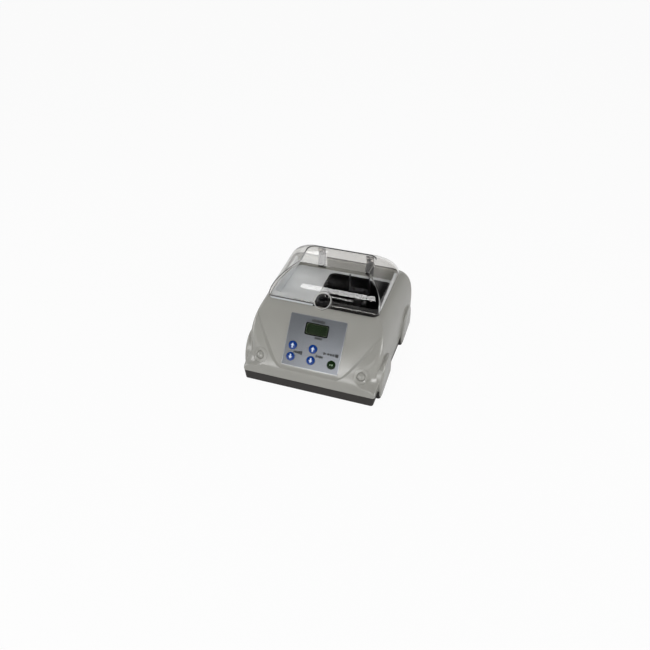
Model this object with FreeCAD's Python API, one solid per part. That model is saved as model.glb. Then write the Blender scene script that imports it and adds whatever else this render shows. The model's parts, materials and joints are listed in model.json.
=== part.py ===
import FreeCAD, Part
import math
import os

from FreeCAD import Placement, Rotation, Vector

# A bench capsule mixer. Sizes in millimetres. X runs to the right, Y to the back and Z up.
# The origin is on the table under the middle of the base; depths are counted back from the base's front edge.

# Casing and base
base_depth = 224.0
base_half_front = 105.5
base_half_back = 113.5
base_draw_in = 2.0
base_floor_height = 1.0
base_floor_thickness = 3.0
band_top = 17.0
rim_height = 112.5
casing_wall = 3.0
nose_height = 34.0
nose_round = 14.0
front_lean = 0.965
back_setback = 18.0
back_curve = 9.0
front_taper = 17.0
taper_curve = 5.0
back_taper = 20.5
corner_front = 4.0
corner_back = 9.0
corner_swell = 34.0
swell_share = 0.25
section_count = 9

# Side bulges, with the base lugs and feet below them
bulge_front_depth = 51.5
bulge_back_depth = 184.0
bulge_half_length = 33.0
bulge_rise = 46.0
bulge_springing = 12.0
bulge_bottom = 5.0
bulge_front_reach = 112.0
bulge_back_reach = 115.5
bulge_round = 4.0
lug_length = 27.0
lug_top = 15.5
lug_recess = 1.5
lug_front_recess = 0.0
lug_round = 4.0
part_gap = 0.3
foot_radius = 8.0
foot_height = 4.0
foot_offset = 12.0

# Shield-shaped step in the front, flat under the keypad
shield_foot_depth = 9.5
shield_foot_height = 38.4
shield_top_depth = 62.3
shield_top_height = 99.9
shield_half_width = 106.0
shield_drop = 54.3
shield_height = 86.0
shield_flare = 1.6
shield_corner = 47.0
shield_corner_round = 12.0
shield_draft = 45.0
shield_reach = 20.0
ledge_slope = 25.0
ledge_drop = 6.0
ledge_round = 20.0

# Recessed deck under the lid
deck_height = 93.0
deck_thickness = 2.5
deck_plate_thickness = 1.5
deck_ledge = 2.5
recess_half_width = 84.0
recess_front = 88.5
recess_back = 199.5
recess_corner = 8.0

# Black well in the deck
well_left = -21.0
well_right = 80.5
well_front = 93.0
well_back = 189.0
well_corner = 9.0
well_floor = 34.0
well_wall = 2.0
well_flange = 2.0
well_flange_height = 1.2

# Domed caps in round dishes on the front
cap_offset = 81.0
cap_height = 44.0
cap_radius = 6.5
cap_rise = 4.0
cap_seat_depth = 0.5
cap_stem_radius = 3.0
cap_stem_length = 9.0
dish_radius = 11.0
dish_depth = 1.2

# Keypad on the shield
panel_width = 90.0
panel_length = 80.6
panel_corner = 3.0
panel_thickness = 1.0
lcd_width = 37.0
lcd_length = 19.0
lcd_offset = 20.6
lcd_corner = 3.0
lcd_frame = 2.0
lcd_fit = 0.1
lcd_module_height = 4.5
lcd_module_margin = 4.0
key_radius = 6.5
key_rise = 1.4
key_crown = 0.6
key_gap = 0.3
key_flange = 1.0
key_flange_thickness = 1.0
key_left_column = -32.5
key_middle_column = 0.0
key_right_column = 32.5
key_upper_row = -8.9
key_lower_row = -26.4
switch_width = 6.0
switch_height = 3.8
board_depth = 9.0
board_thickness = 1.6
board_width = 90.0
board_length = 78.0
board_margin = 4.0
board_post_radius = 3.2

# Screws
screw_radius = 1.5
screw_head_radius = 2.8
screw_head_height = 1.8
small_screw_radius = 1.0
small_head_radius = 1.9
small_head_height = 1.2
base_post_radius = 5.0
base_post_front_offset = 84.0
base_post_back_offset = 95.0
base_post_front = 30.0
base_post_back = 200.0
base_post_bottom = 13.0

# Clear lid
lid_seat_gap = 0.3
lid_margin = 0.5
lid_height = 33.2
lid_front_run = 57.5
lid_front_bow = 0.45
lid_side_run = 31.5
lid_side_run_back = 33.0
lid_side_curve = 2.2
lid_side_curve_back = 1.6
lid_lip = 4.0
lid_back_run = 20.0
lid_corner_front = 4.5
lid_corner_back = 14.0
lid_wall = 1.7
lid_top_wall = 2.0
lid_section_count = 6
tab_radius = 14.0
tab_thickness = 3.0
tab_rise = 6.5
knob_radius = 8.5
knob_height = 6.0
knob_stem_radius = 2.0

# Lid hinge
pivot_depth = 206.0
pivot_height = 100.5
hinge_offset = 41.5
arm_width = 12.0
hinge_slot_width = 14.0
hinge_slot_floor = 93.5
barrel_radius = 5.4
pin_radius = 2.0
pin_clearance = 0.05
pin_length = 23.0
hinge_lug_width = 5.0
hinge_lug_bottom = 94.0
hinge_lug_top = 106.5
arm_strap_height = 20.0
arm_strap_thickness = 3.0
arm_screw_low = 6.0
arm_screw_high = 14.0
cam_radius = 6.6
cam_half_width = 1.2

# Lid interlock
interlock_width = 12.8
interlock_thickness = 5.8
interlock_height = 6.5
plunger_width = 2.0
plunger_gap = 0.5
plunger_length = 5.0
plunger_exposed = 2.6

# Motor and wobble drive
drive_x = 34.0
drive_depth = 166.0
drive_height = 60.0
motor_radius = 28.0
motor_wall = 2.5
motor_front = -32.0
motor_length = 52.0
bell_thickness = 5.0
bell_boss_radius = 9.0
bell_boss_length = 4.0
bushing_radius = 6.5
shaft_radius = 4.0
shaft_clearance = 0.03
shaft_tail = 3.0
shaft_tip = 13.0
core_radius = 21.0
core_length = 30.0
stator_gap = 0.6
stator_length = 34.0
wobble_angle = 8.0
sleeve_radius = 6.2
sleeve_length = 13.0
ring_outer_radius = 7.6
ring_width = 8.0
ball_radius = 1.4
ball_pitch = 8.2
ball_count = 11
race_clearance = 0.2
collar_radius = 7.0
collar_length = 4.0
seal_radius = 9.0
seal_thickness = 3.0
seal_clearance = 0.1
bracket_thickness = 2.5
bracket_half_width = 27.0
bracket_top = 84.0
bracket_foot_length = 50.0
bracket_foot_height = 11.3
grommet_height = 3.0
grommet_radius = 6.0
grommet_inset = 8.0
motor_screw_circle = 18.0

# Mixing arm, capsule clip and tether
outer_ring_radius = 13.0
outer_ring_width = 9.0
arm_hub_radius = 17.0
arm_hub_width = 12.0
arm_neck_width = 9.0
arm_neck_half_depth = 6.0
arm_bar_bottom = 82.0
arm_bar_height = 4.0
clip_span = 32.0
clip_thickness = 1.2
clip_half_depth = 5.0
clip_top = 114.0
clip_hole_height = 105.0
clip_hole_radius = 3.2
clip_screw_offset = 9.0
tether_lug_radius = 4.5
tether_lug_length = 4.0
tether_radius = 3.0
anchor_radius = 5.0
anchor_length = 6.0

# Mains side
plate_left = -84.0
plate_right = -2.0
plate_bottom = 20.0
plate_top = 50.0
plate_corner = 4.0
plate_flange = 5.0
plate_thickness = 2.5
plate_gap = 0.2
inlet_x = -64.0
inlet_width = 27.0
inlet_height = 20.0
inlet_rim = 3.0
inlet_rim_thickness = 1.5
inlet_body_depth = 22.0
socket_width = 22.5
socket_height = 15.0
socket_depth = 15.0
socket_corner = 3.0
blade_spacing = 7.0
blade_drop = 2.0
blade_width = 2.0
blade_height = 4.0
blade_length = 11.0
rocker_x = -14.0
rocker_width = 12.5
rocker_height = 19.0
rocker_frame = 1.6
rocker_frame_thickness = 1.5
rocker_body_depth = 18.0
rocker_body_wall = 1.2
rocker_angle = 8.0
rocker_gap = 0.3
rocker_back = 4.0
rocker_nose = 2.0
rocker_pivot_depth = 1.6
fuse_x = -34.5
fuse_radius = 5.5
fuse_rim_radius = 7.5
fuse_rim_thickness = 1.0
fuse_body_depth = 20.0
fuse_cap_radius = 4.5
fuse_cap_length = 14.0
fuse_cap_proud = 0.8
fuse_slot_width = 1.2
mains_height = 35.0
vent_count = 7
vent_first = 28.0
vent_pitch = 8.0
vent_width = 3.2
vent_bottom = 24.0
vent_top = 46.0
power_board_x = -60.0
power_board_depth = 78.0
power_board_width = 62.0
power_board_length = 54.0
power_board_height = 12.0
power_post_radius = 3.5
transformer_width = 34.0
transformer_length = 30.0
transformer_height = 28.0
capacitor_radius = 6.0
capacitor_height = 20.0
relay_width = 12.0
relay_length = 24.0
relay_height = 15.0

# Derived places
front_y = -base_depth / 2
casing_height = rim_height - band_top
base_inside = base_floor_height + base_floor_thickness
pieces = {}


def at(depth):
    return front_y + depth


def block(x0, x1, y0, y1, z0, z1):
    return Part.makeBox(x1 - x0, y1 - y0, z1 - z0, Vector(x0, y0, z0))


def rod(radius, start, end):
    way = end - start
    return Part.makeCylinder(radius, way.Length, start, way)


def tube(outer, inner, start, end):
    return rod(outer, start, end).cut(rod(inner, start, end))


def outline(points, radii, z=0.0):
    # A closed wire through the points at one height, with each corner rounded by its own radius.
    starts = []
    middles = []
    ends = []
    for index, point in enumerate(points):
        corner = Vector(point[0], point[1], z)
        before = Vector(points[index - 1][0], points[index - 1][1], z)
        after = Vector(points[(index + 1) % len(points)][0], points[(index + 1) % len(points)][1], z)
        back = (before - corner).normalize()
        ahead = (after - corner).normalize()
        half_angle = back.getAngle(ahead) / 2
        reach = radii[index] / math.tan(half_angle)
        inward = (back + ahead).normalize()
        starts.append(corner + back * reach)
        ends.append(corner + ahead * reach)
        middles.append(corner + inward * (radii[index] / math.sin(half_angle) - radii[index]))
    edges = []
    for index in range(len(points)):
        if radii[index] > 0:
            edges.append(Part.Arc(starts[index], middles[index], ends[index]).toShape())
        edges.append(Part.LineSegment(ends[index], starts[(index + 1) % len(points)]).toShape())
    return Part.Wire(edges)


def rectangle(x0, x1, y0, y1, radius, z=0.0):
    return outline([(x0, y0), (x1, y0), (x1, y1), (x0, y1)], [radius] * 4, z)


def plate(x0, x1, y0, y1, radius, z0, z1):
    return Part.Face(rectangle(x0, x1, y0, y1, radius, z0)).extrude(Vector(0, 0, z1 - z0))


def upright(x0, x1, z0, z1, radius, y0, y1):
    # A plate with rounded corners in the XZ plane, running from y0 back to y1.
    flat = plate(x0, x1, z0, z1, radius, 0, y1 - y0)
    flat.Placement = Placement(Vector(0, y1, 0), Rotation(Vector(1, 0, 0), 90))
    return flat


def screw(radius, head_radius, head_height, length, tip, direction):
    # A cap screw whose point is at tip and whose head lies along the direction.
    way = Vector(direction).normalize()
    shank = rod(radius, tip, tip + way * length)
    head = rod(head_radius, tip + way * length, tip + way * (length + head_height))
    socket = rod(radius * 0.8, tip + way * (length + head_height * 0.4), tip + way * (length + head_height))
    return shank.fuse(head).cut(socket).removeSplitter()


def turned(distance, corner, roundness):
    # Flat up to the corner, then rising one for one, with the turn rounded.
    return (math.hypot(distance - corner, roundness) + distance - corner) / 2


def front_depth(z):
    # The front rises nearly upright, turns over at the nose and then leans back evenly.
    start = turned(band_top, nose_height, nose_round)
    return front_lean * (turned(z, nose_height, nose_round) - start)


def casing_section(share, inset):
    z = band_top + casing_height * share
    front = at(front_depth(z)) + inset
    back = -front_y - back_setback * share**back_curve - inset
    half_front = base_half_front - front_taper * share**taper_curve - inset
    half_back = base_half_back - back_taper * share**taper_curve - inset
    corners = [(-half_front, front), (half_front, front), (half_back, back), (-half_back, back)]
    swell = share / swell_share * math.exp(1 - share / swell_share)
    round_front = corner_front + corner_swell * swell**4 - inset / 2
    round_back = corner_back - inset / 2
    return outline(corners, [round_front, round_front, round_back, round_back], z)


def casing_form(inset):
    shares = [index / (section_count - 1) for index in range(section_count)]
    return Part.makeLoft([casing_section(share, inset) for share in shares], True, False)


# Outer casing form with its four side bulges
plain_casing = casing_form(0.0)
middle_of_wall = casing_form(casing_wall / 2)
casing = plain_casing


def bulge(side, depth, reach):
    ellipse = Part.Ellipse(Vector(0, 0, 0), bulge_rise, bulge_half_length).toShape()
    face = Part.Face(Part.Wire([ellipse]))
    start = base_half_front - 40
    form = face.extrude(Vector(0, 0, reach - start))
    rim = [edge for edge in form.Edges if abs(edge.CenterOfMass.z - (reach - start)) < 0.01]
    form = form.makeFillet(bulge_round, rim)
    # The ellipse's long axis turns upright and its thickness runs out to the side.
    upright_turn = Rotation(Vector(0, 0, 1), Vector(0, 1, 0), Vector(1, 0, 0), "ZXY")
    form.Placement = Placement(Vector(start, at(depth), bulge_springing), upright_turn)
    if side < 0:
        form = form.mirror(Vector(0, 0, 0), Vector(1, 0, 0))
    low = block(-300, 300, -300, 300, -300, bulge_bottom)
    return form.cut(low)


def base_form(grow):
    bottom = [
        (-base_half_front + base_draw_in - grow, front_y - grow),
        (base_half_front - base_draw_in + grow, front_y - grow),
        (base_half_back - base_draw_in + grow, -front_y - base_draw_in / 2 + grow),
        (-base_half_back + base_draw_in - grow, -front_y - base_draw_in / 2 + grow),
    ]
    top = [
        (-base_half_front - grow, front_y - grow),
        (base_half_front + grow, front_y - grow),
        (base_half_back + grow, -front_y + grow),
        (-base_half_back - grow, -front_y + grow),
    ]
    radii = [corner_front + grow, corner_front + grow, corner_back + grow, corner_back + grow]
    sections = [outline(bottom, radii, base_floor_height), outline(top, radii, band_top)]
    return Part.makeLoft(sections, True, True)


def lug(side, depth, reach, grow):
    inner = base_half_front - 30
    y0 = at(depth) - bulge_half_length + lug_front_recess - grow
    y1 = y0 + lug_length + 2 * grow
    form = plate(inner, reach - lug_recess + grow, y0, y1, lug_round, base_floor_height, lug_top + grow)
    if side < 0:
        form = form.mirror(Vector(0, 0, 0), Vector(1, 0, 0))
    return form


corners = []
for side in (-1, 1):
    corners.append((side, bulge_front_depth, bulge_front_reach))
    corners.append((side, bulge_back_depth, bulge_back_reach))
base_room = base_form(part_gap)
for side, depth, reach in corners:
    form = bulge(side, depth, reach).cut(base_room).cut(lug(side, depth, reach, part_gap))
    casing = casing.fuse(form)

# Shield step: a flat for the keypad, a rounded ledge under it and a drafted edge all round
shield_angle = math.atan2(shield_top_height - shield_foot_height, shield_top_depth - shield_foot_depth)
shield_way = Vector(0, math.cos(shield_angle), math.sin(shield_angle))
shield_out = Vector(0, -math.sin(shield_angle), math.cos(shield_angle))
shield_foot = Vector(0, at(shield_foot_depth), shield_foot_height)
panel_centre = shield_foot + shield_way * (panel_length / 2)
panel_place = Placement(panel_centre, Rotation(Vector(1, 0, 0), math.degrees(shield_angle)))


def on_panel(shape):
    # Keypad shapes are made flat, with Y up the slope and Z out of the front, then laid on the shield.
    placed = shape.copy()
    placed.Placement = panel_place.multiply(placed.Placement)
    return placed


def shield_outline(grow, z):
    # A wide U with flaring sides, closed by a straight line above the casing's front.
    steps = 8
    curve_points = []
    for index in range(-steps, steps + 1):
        x = (shield_half_width + grow) * index / steps
        rise = shield_flare * turned(abs(x), shield_corner + grow, shield_corner_round)
        curve_points.append(Vector(x, rise - shield_drop - grow, z))
    curve = Part.BSplineCurve()
    curve.interpolate(curve_points)
    first = curve_points[0]
    last = curve_points[-1]
    right = Vector(last.x, last.y + shield_height, z)
    left = Vector(first.x, first.y + shield_height, z)
    sides = [Part.makeLine(last, right), Part.makeLine(right, left), Part.makeLine(left, first)]
    return Part.Wire([curve.toShape()] + sides)


def shield_cutter(offset):
    # The space in front of the shield, moved in by the offset.
    spread = shield_reach * math.tan(math.radians(shield_draft))
    step = Part.makeLoft(
        [shield_outline(offset, -offset), shield_outline(offset + spread, shield_reach - offset)],
        True,
        True,
    )
    step.Placement = panel_place
    knee = shield_foot - shield_way * ledge_drop - shield_out * offset
    slope = math.radians(ledge_slope)
    far = 300.0
    low = (knee.y - far * math.cos(slope), knee.z - far * math.sin(slope))
    high = (knee.y + far * shield_way.y, knee.z + far * shield_way.z)
    space = Part.Face(outline([low, (knee.y, knee.z), high, (low[0], high[1])], [0, ledge_round, 0, 0]))
    space = space.extrude(Vector(0, 0, 2 * far))
    space.Placement = Placement(
        Vector(-far, 0, 0), Rotation(Vector(0, 1, 0), Vector(0, 0, 1), Vector(1, 0, 0), "ZXY")
    )
    return step.common(space)


casing = casing.cut(shield_cutter(0.0))

# Inside of the casing, kept clear of the shield's wall and of the recessed deck
recess_y0 = at(recess_front)
recess_y1 = at(recess_back)
recess = plate(
    -recess_half_width, recess_half_width, recess_y0, recess_y1, recess_corner, deck_height, rim_height + 1
)
tray_half = recess_half_width + deck_thickness
tray_y0 = recess_y0 - deck_thickness
tray_y1 = recess_y1 + deck_thickness
tray_corner = recess_corner + deck_thickness
tray = plate(
    -tray_half, tray_half, tray_y0, tray_y1, tray_corner, deck_height - deck_thickness, rim_height + 1
)
inside = casing_form(casing_wall)
ceiling = block(-300, 300, -300, 300, rim_height - casing_wall, rim_height + 300)
inside = inside.cut(ceiling).cut(shield_cutter(casing_wall)).cut(tray)
casing = casing.cut(inside).cut(recess)

# Deck plate, laid on a narrow ledge in the recess
ledge_height = deck_height - deck_plate_thickness
casing = casing.cut(
    plate(
        -recess_half_width,
        recess_half_width,
        recess_y0,
        recess_y1,
        recess_corner,
        ledge_height,
        deck_height + 1,
    )
)
casing = casing.cut(
    plate(
        -recess_half_width + deck_ledge,
        recess_half_width - deck_ledge,
        recess_y0 + deck_ledge,
        recess_y1 - deck_ledge,
        recess_corner - deck_ledge,
        deck_height - deck_thickness - 1,
        deck_height,
    )
)
deck = plate(
    -recess_half_width + part_gap,
    recess_half_width - part_gap,
    recess_y0 + part_gap,
    recess_y1 - part_gap,
    recess_corner - part_gap,
    ledge_height,
    deck_height,
)

# Round posts inside the casing for the base screws
post_places = []
for side in (-1, 1):
    post_places.append(Vector(side * base_post_front_offset, at(base_post_front), 0))
    post_places.append(Vector(side * base_post_back_offset, at(base_post_back), 0))
for place in post_places:
    post = rod(base_post_radius, place + Vector(0, 0, band_top), place + Vector(0, 0, rim_height))
    post = post.common(middle_of_wall).cut(tray)
    post = post.fuse(
        rod(base_post_radius, place + Vector(0, 0, base_post_bottom), place + Vector(0, 0, band_top))
    )
    casing = casing.fuse(post)
pilot_depth = 14.0
for place in post_places:
    low = place + Vector(0, 0, base_post_bottom)
    casing = casing.cut(rod(screw_radius, low, low + Vector(0, 0, pilot_depth)))

# Well opening in the deck, and the liner that drops into it
well_y0 = at(well_front)
well_y1 = at(well_back)
opening = plate(
    well_left - part_gap,
    well_right + part_gap,
    well_y0 - part_gap,
    well_y1 + part_gap,
    well_corner + part_gap,
    deck_height - deck_thickness - 1,
    deck_height + 1,
)
pieces["deck_plate"] = deck.cut(opening)
liner = plate(well_left, well_right, well_y0, well_y1, well_corner, well_floor - well_wall, deck_height)
liner = liner.fuse(
    plate(
        well_left - well_flange,
        well_right + well_flange,
        well_y0 - well_flange,
        well_y1 + well_flange,
        well_corner + well_flange,
        deck_height,
        deck_height + well_flange_height,
    )
)
liner = liner.cut(
    plate(
        well_left + well_wall,
        well_right - well_wall,
        well_y0 + well_wall,
        well_y1 - well_wall,
        well_corner - well_wall,
        well_floor,
        deck_height + well_flange_height + 1,
    )
)
drive = Vector(drive_x, at(drive_depth), drive_height)


def on_drive(x):
    return Vector(x, drive.y, drive.z)


liner = liner.cut(rod(seal_radius, on_drive(well_left - 5), on_drive(well_left + 5)))
seal_start = on_drive(well_left - (seal_thickness - well_wall) / 2)
seal_end = seal_start + Vector(seal_thickness, 0, 0)
pieces["shaft_seal"] = tube(seal_radius, shaft_radius + seal_clearance, seal_start, seal_end)


# Domed caps in their dishes
def casing_spot(x, z):
    # A point of the casing's front, by its place across and its height, with the way out of the surface.
    probe = Part.makeLine(Vector(x, 2 * front_y, z), Vector(x, 0, z)).common(plain_casing)
    point = min((vertex.Point for vertex in probe.Vertexes), key=lambda spot: spot.y)
    face = min(plain_casing.Faces, key=lambda side: side.distToShape(Part.Vertex(point))[0])
    u, v = face.Surface.parameter(point)
    return point, face.normalAt(u, v)


dish_sphere = (dish_radius**2 + dish_depth**2) / (2 * dish_depth)
cap_sphere = (cap_radius**2 + cap_rise**2) / (2 * cap_rise)
for name, side in (("left", -1), ("right", 1)):
    spot, cap_out = casing_spot(side * cap_offset, cap_height)
    bottom = spot - cap_out * (dish_depth + cap_seat_depth)
    casing = casing.cut(Part.makeSphere(dish_sphere, spot + cap_out * (dish_sphere - dish_depth)))
    casing = casing.cut(rod(cap_radius + part_gap, bottom, spot))
    casing = casing.cut(rod(cap_stem_radius, bottom - cap_out * (cap_stem_length + 1), spot))
    ball = Part.makeSphere(cap_sphere, bottom + cap_out * (cap_rise - cap_sphere))
    dome = ball.common(rod(cap_radius, bottom, bottom + cap_out * (cap_rise + 1)))
    stem = rod(cap_stem_radius, bottom - cap_out * cap_stem_length, bottom)
    pieces["dome_cap_" + name] = dome.fuse(stem).removeSplitter()

# Keypad: overlay, display and keys, made flat and laid on the shield
key_places = {
    "key_speed_up": (key_left_column, key_upper_row),
    "key_speed_down": (key_left_column, key_lower_row),
    "key_time_up": (key_middle_column, key_upper_row),
    "key_time_down": (key_middle_column, key_lower_row),
    "key_start_stop": (key_right_column, key_lower_row),
}
half_w = panel_width / 2
half_l = panel_length / 2
overlay = plate(-half_w, half_w, -half_l, half_l, panel_corner, 0, panel_thickness)
lens_room = plate(
    -lcd_width / 2 - lcd_fit,
    lcd_width / 2 + lcd_fit,
    lcd_offset - lcd_length / 2 - lcd_fit,
    lcd_offset + lcd_length / 2 + lcd_fit,
    lcd_corner + lcd_fit,
    -1,
    panel_thickness + 1,
)
overlay = overlay.cut(lens_room)
sight = plate(
    -lcd_width / 2 + lcd_frame,
    lcd_width / 2 - lcd_frame,
    lcd_offset - lcd_length / 2 + lcd_frame,
    lcd_offset + lcd_length / 2 - lcd_frame,
    lcd_corner,
    -board_depth,
    1,
)
casing = casing.cut(on_panel(sight))
switches = []
for name, (x, y) in key_places.items():
    axis_low = Vector(x, y, -board_depth)
    axis_high = Vector(x, y, panel_thickness + 1)
    overlay = overlay.cut(rod(key_radius + key_gap, axis_low, axis_high))
    casing = casing.cut(on_panel(rod(key_radius + key_gap, axis_low, axis_high)))
    flange_top = -casing_wall - key_gap
    flange_low = flange_top - key_flange_thickness
    top = panel_thickness + key_rise
    key = rod(key_radius, Vector(x, y, flange_top), Vector(x, y, top))
    crown = (key_radius**2 + key_crown**2) / (2 * key_crown)
    key = key.common(Part.makeSphere(crown, Vector(x, y, top - crown)))
    key = key.fuse(rod(key_radius + key_flange, Vector(x, y, flange_low), Vector(x, y, flange_top)))
    pieces[name] = on_panel(key.removeSplitter())
    half = switch_width / 2
    switches.append(
        on_panel(block(x - half, x + half, y - half, y + half, -board_depth, -board_depth + switch_height))
    )
pieces["panel_overlay"] = on_panel(overlay)
pieces["key_switches"] = Part.makeCompound(switches)
lens = plate(
    -lcd_width / 2,
    lcd_width / 2,
    lcd_offset - lcd_length / 2,
    lcd_offset + lcd_length / 2,
    lcd_corner,
    0,
    panel_thickness,
)
pieces["lcd_window"] = on_panel(lens)
module = block(
    -lcd_width / 2 - lcd_module_margin,
    lcd_width / 2 + lcd_module_margin,
    lcd_offset - lcd_length / 2 - lcd_module_margin,
    lcd_offset + lcd_length / 2 + lcd_module_margin,
    -board_depth,
    -board_depth + lcd_module_height,
)
pieces["lcd_module"] = on_panel(module)
board = block(
    -board_width / 2,
    board_width / 2,
    -board_length / 2,
    board_length / 2,
    -board_depth - board_thickness,
    -board_depth,
)
board_screws = []
for x in (-board_width / 2 + board_margin, board_width / 2 - board_margin):
    for y in (-board_length / 2 + board_margin, board_length / 2 - board_margin):
        low = Vector(x, y, -board_depth)
        wall = Vector(x, y, -casing_wall + 0.5)
        casing = casing.fuse(on_panel(rod(board_post_radius, low, wall)))
        hole = rod(small_screw_radius, low - Vector(0, 0, board_thickness), wall - Vector(0, 0, 1))
        casing = casing.cut(on_panel(hole))
        board = board.cut(hole)
        length = (wall - low).Length - 1 + board_thickness
        fixing = screw(
            small_screw_radius, small_head_radius, small_head_height, length, wall - Vector(0, 0, 1), (
                0, 0, -1
            )
        )
        board_screws.append(on_panel(fixing))
pieces["control_board"] = on_panel(board)

# Hinge slots through the back rim, lugs beside them and steel pins
pivot = Vector(0, at(pivot_depth), pivot_height)
pins = []
for side in (-1, 1):
    x = side * hinge_offset
    reach = hinge_slot_width / 2 + hinge_lug_width
    lugs = block(
        x - reach, x + reach, tray_y1 - deck_thickness / 2, -front_y, hinge_lug_bottom, hinge_lug_top
    )
    casing = casing.fuse(lugs.common(middle_of_wall))
for side in (-1, 1):
    x = side * hinge_offset
    half = hinge_slot_width / 2
    slot = block(x - half, x + half, recess_y1 - 1, -front_y + 10, hinge_slot_floor, rim_height + 1)
    pin_start = Vector(x - pin_length / 2, pivot.y, pivot.z)
    pin_end = Vector(x + pin_length / 2, pivot.y, pivot.z)
    casing = casing.cut(slot).cut(rod(pin_radius, pin_start, pin_end))
    pins.append(rod(pin_radius, pin_start, pin_end))
pieces["hinge_pins"] = Part.makeCompound(pins)

# Back panel opening, vents
back_y = -front_y
window = upright(
    plate_left - part_gap,
    plate_right + part_gap,
    plate_bottom - part_gap,
    plate_top + part_gap,
    plate_corner + part_gap,
    back_y - 20,
    back_y + 10,
)
casing = casing.cut(window)
for index in range(vent_count):
    x = vent_first + vent_pitch * index
    casing = casing.cut(
        upright(
            x - vent_width / 2,
            x + vent_width / 2,
            vent_bottom,
            vent_top,
            vent_width / 2.2,
            back_y - 20,
            back_y + 10,
        ),
    )

# Base tray with its lugs, screw bosses and rubber feet
base = base_form(0.0)
for side, depth, reach in corners:
    base = base.fuse(lug(side, depth, reach, 0.0))
hollow = base_form(-casing_wall).cut(block(-300, 300, -300, 300, -300, base_inside))
base = base.cut(hollow)
base_screws = []
boss_seat = base_floor_height + screw_head_height + 1.7
for place in post_places:
    low = place + Vector(0, 0, base_floor_height)
    seat = place + Vector(0, 0, boss_seat)
    top = place + Vector(0, 0, base_post_bottom)
    base = base.fuse(rod(base_post_radius, low, top))
    base = base.cut(rod(screw_head_radius + part_gap, low, seat)).cut(
        rod(screw_radius + part_gap, seat, top)
    )
    length = base_post_bottom + pilot_depth - 1 - boss_seat
    tip = top + Vector(0, 0, pilot_depth - 1)
    base_screws.append(screw(screw_radius, screw_head_radius, screw_head_height, length, tip, (0, 0, -1)))
pieces["base_screws"] = Part.makeCompound(base_screws)
feet = []
for side, depth, reach in corners:
    y = at(depth) - bulge_half_length + lug_front_recess + lug_length / 2
    low = Vector(side * (reach - foot_offset), y, 0)
    foot = rod(foot_radius, low, low + Vector(0, 0, foot_height))
    base = base.cut(foot)
    feet.append(foot)
pieces["rubber_feet"] = Part.makeCompound(feet)

# Motor, along X under the left of the deck
motor_back = motor_front - motor_length
bell_front = motor_front - bell_thickness
bell_back = motor_back + bell_thickness
can_bore = motor_radius - motor_wall
shaft_start = motor_back - bell_boss_length - shaft_tail
shaft_end = drive_x + shaft_tip
core_middle = (bell_front + bell_back) / 2


def drive_tube(outer, inner, x0, x1):
    return tube(outer, inner, on_drive(x0), on_drive(x1))


pieces["motor_can"] = drive_tube(motor_radius, can_bore, bell_back, bell_front)
stator_bore = core_radius + stator_gap
pieces["motor_stator"] = drive_tube(
    can_bore, stator_bore, core_middle - stator_length / 2, core_middle + stator_length / 2
)
front_bell = rod(motor_radius, on_drive(bell_front), on_drive(motor_front))
front_bell = front_bell.fuse(
    rod(bell_boss_radius, on_drive(motor_front), on_drive(motor_front + bell_boss_length))
)
front_bell = front_bell.cut(
    rod(bushing_radius, on_drive(bell_front), on_drive(motor_front + bell_boss_length))
)
back_bell = rod(motor_radius, on_drive(motor_back), on_drive(bell_back))
back_bell = back_bell.fuse(
    rod(bell_boss_radius, on_drive(motor_back - bell_boss_length), on_drive(motor_back))
)
back_bell = back_bell.cut(rod(bushing_radius, on_drive(motor_back - bell_boss_length), on_drive(bell_back)))
bushing_bore = shaft_radius + shaft_clearance
front_bushing = drive_tube(bushing_radius, bushing_bore, bell_front, motor_front + bell_boss_length)
back_bushing = drive_tube(bushing_radius, bushing_bore, motor_back - bell_boss_length, bell_back)
pieces["motor_bushings"] = Part.makeCompound([front_bushing, back_bushing])
pieces["motor_shaft"] = rod(shaft_radius, on_drive(shaft_start), on_drive(shaft_end))
pieces["rotor_core"] = drive_tube(
    core_radius, shaft_radius, core_middle - core_length / 2, core_middle + core_length / 2
)

# Motor bracket on rubber grommets, and its screws
face_x = motor_front + bracket_thickness
foot_top = bracket_foot_height + bracket_thickness
bracket = block(
    motor_front,
    face_x,
    drive.y - bracket_half_width,
    drive.y + bracket_half_width,
    bracket_foot_height,
    bracket_top,
)
bracket = bracket.fuse(
    block(
        face_x - bracket_foot_length,
        face_x,
        drive.y - bracket_half_width,
        drive.y + bracket_half_width,
        bracket_foot_height,
        foot_top,
    )
)
bracket = bracket.cut(rod(bell_boss_radius + part_gap, on_drive(motor_front - 1), on_drive(face_x + 1)))
motor_screws = []
for index in range(4):
    angle = math.radians(45 + 90 * index)
    across = Vector(0, motor_screw_circle * math.cos(angle), motor_screw_circle * math.sin(angle))
    tip = on_drive(bell_front + 1) + across
    seat = on_drive(face_x) + across
    front_bell = front_bell.cut(rod(screw_radius, tip, seat))
    bracket = bracket.cut(rod(screw_radius, tip, seat))
    motor_screws.append(
        screw(screw_radius, screw_head_radius, screw_head_height, (seat - tip).Length, tip, (1, 0, 0))
    )
pieces["motor_front_bell"] = front_bell
pieces["motor_back_bell"] = back_bell
grommets = []
boss_top = bracket_foot_height - grommet_height
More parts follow.
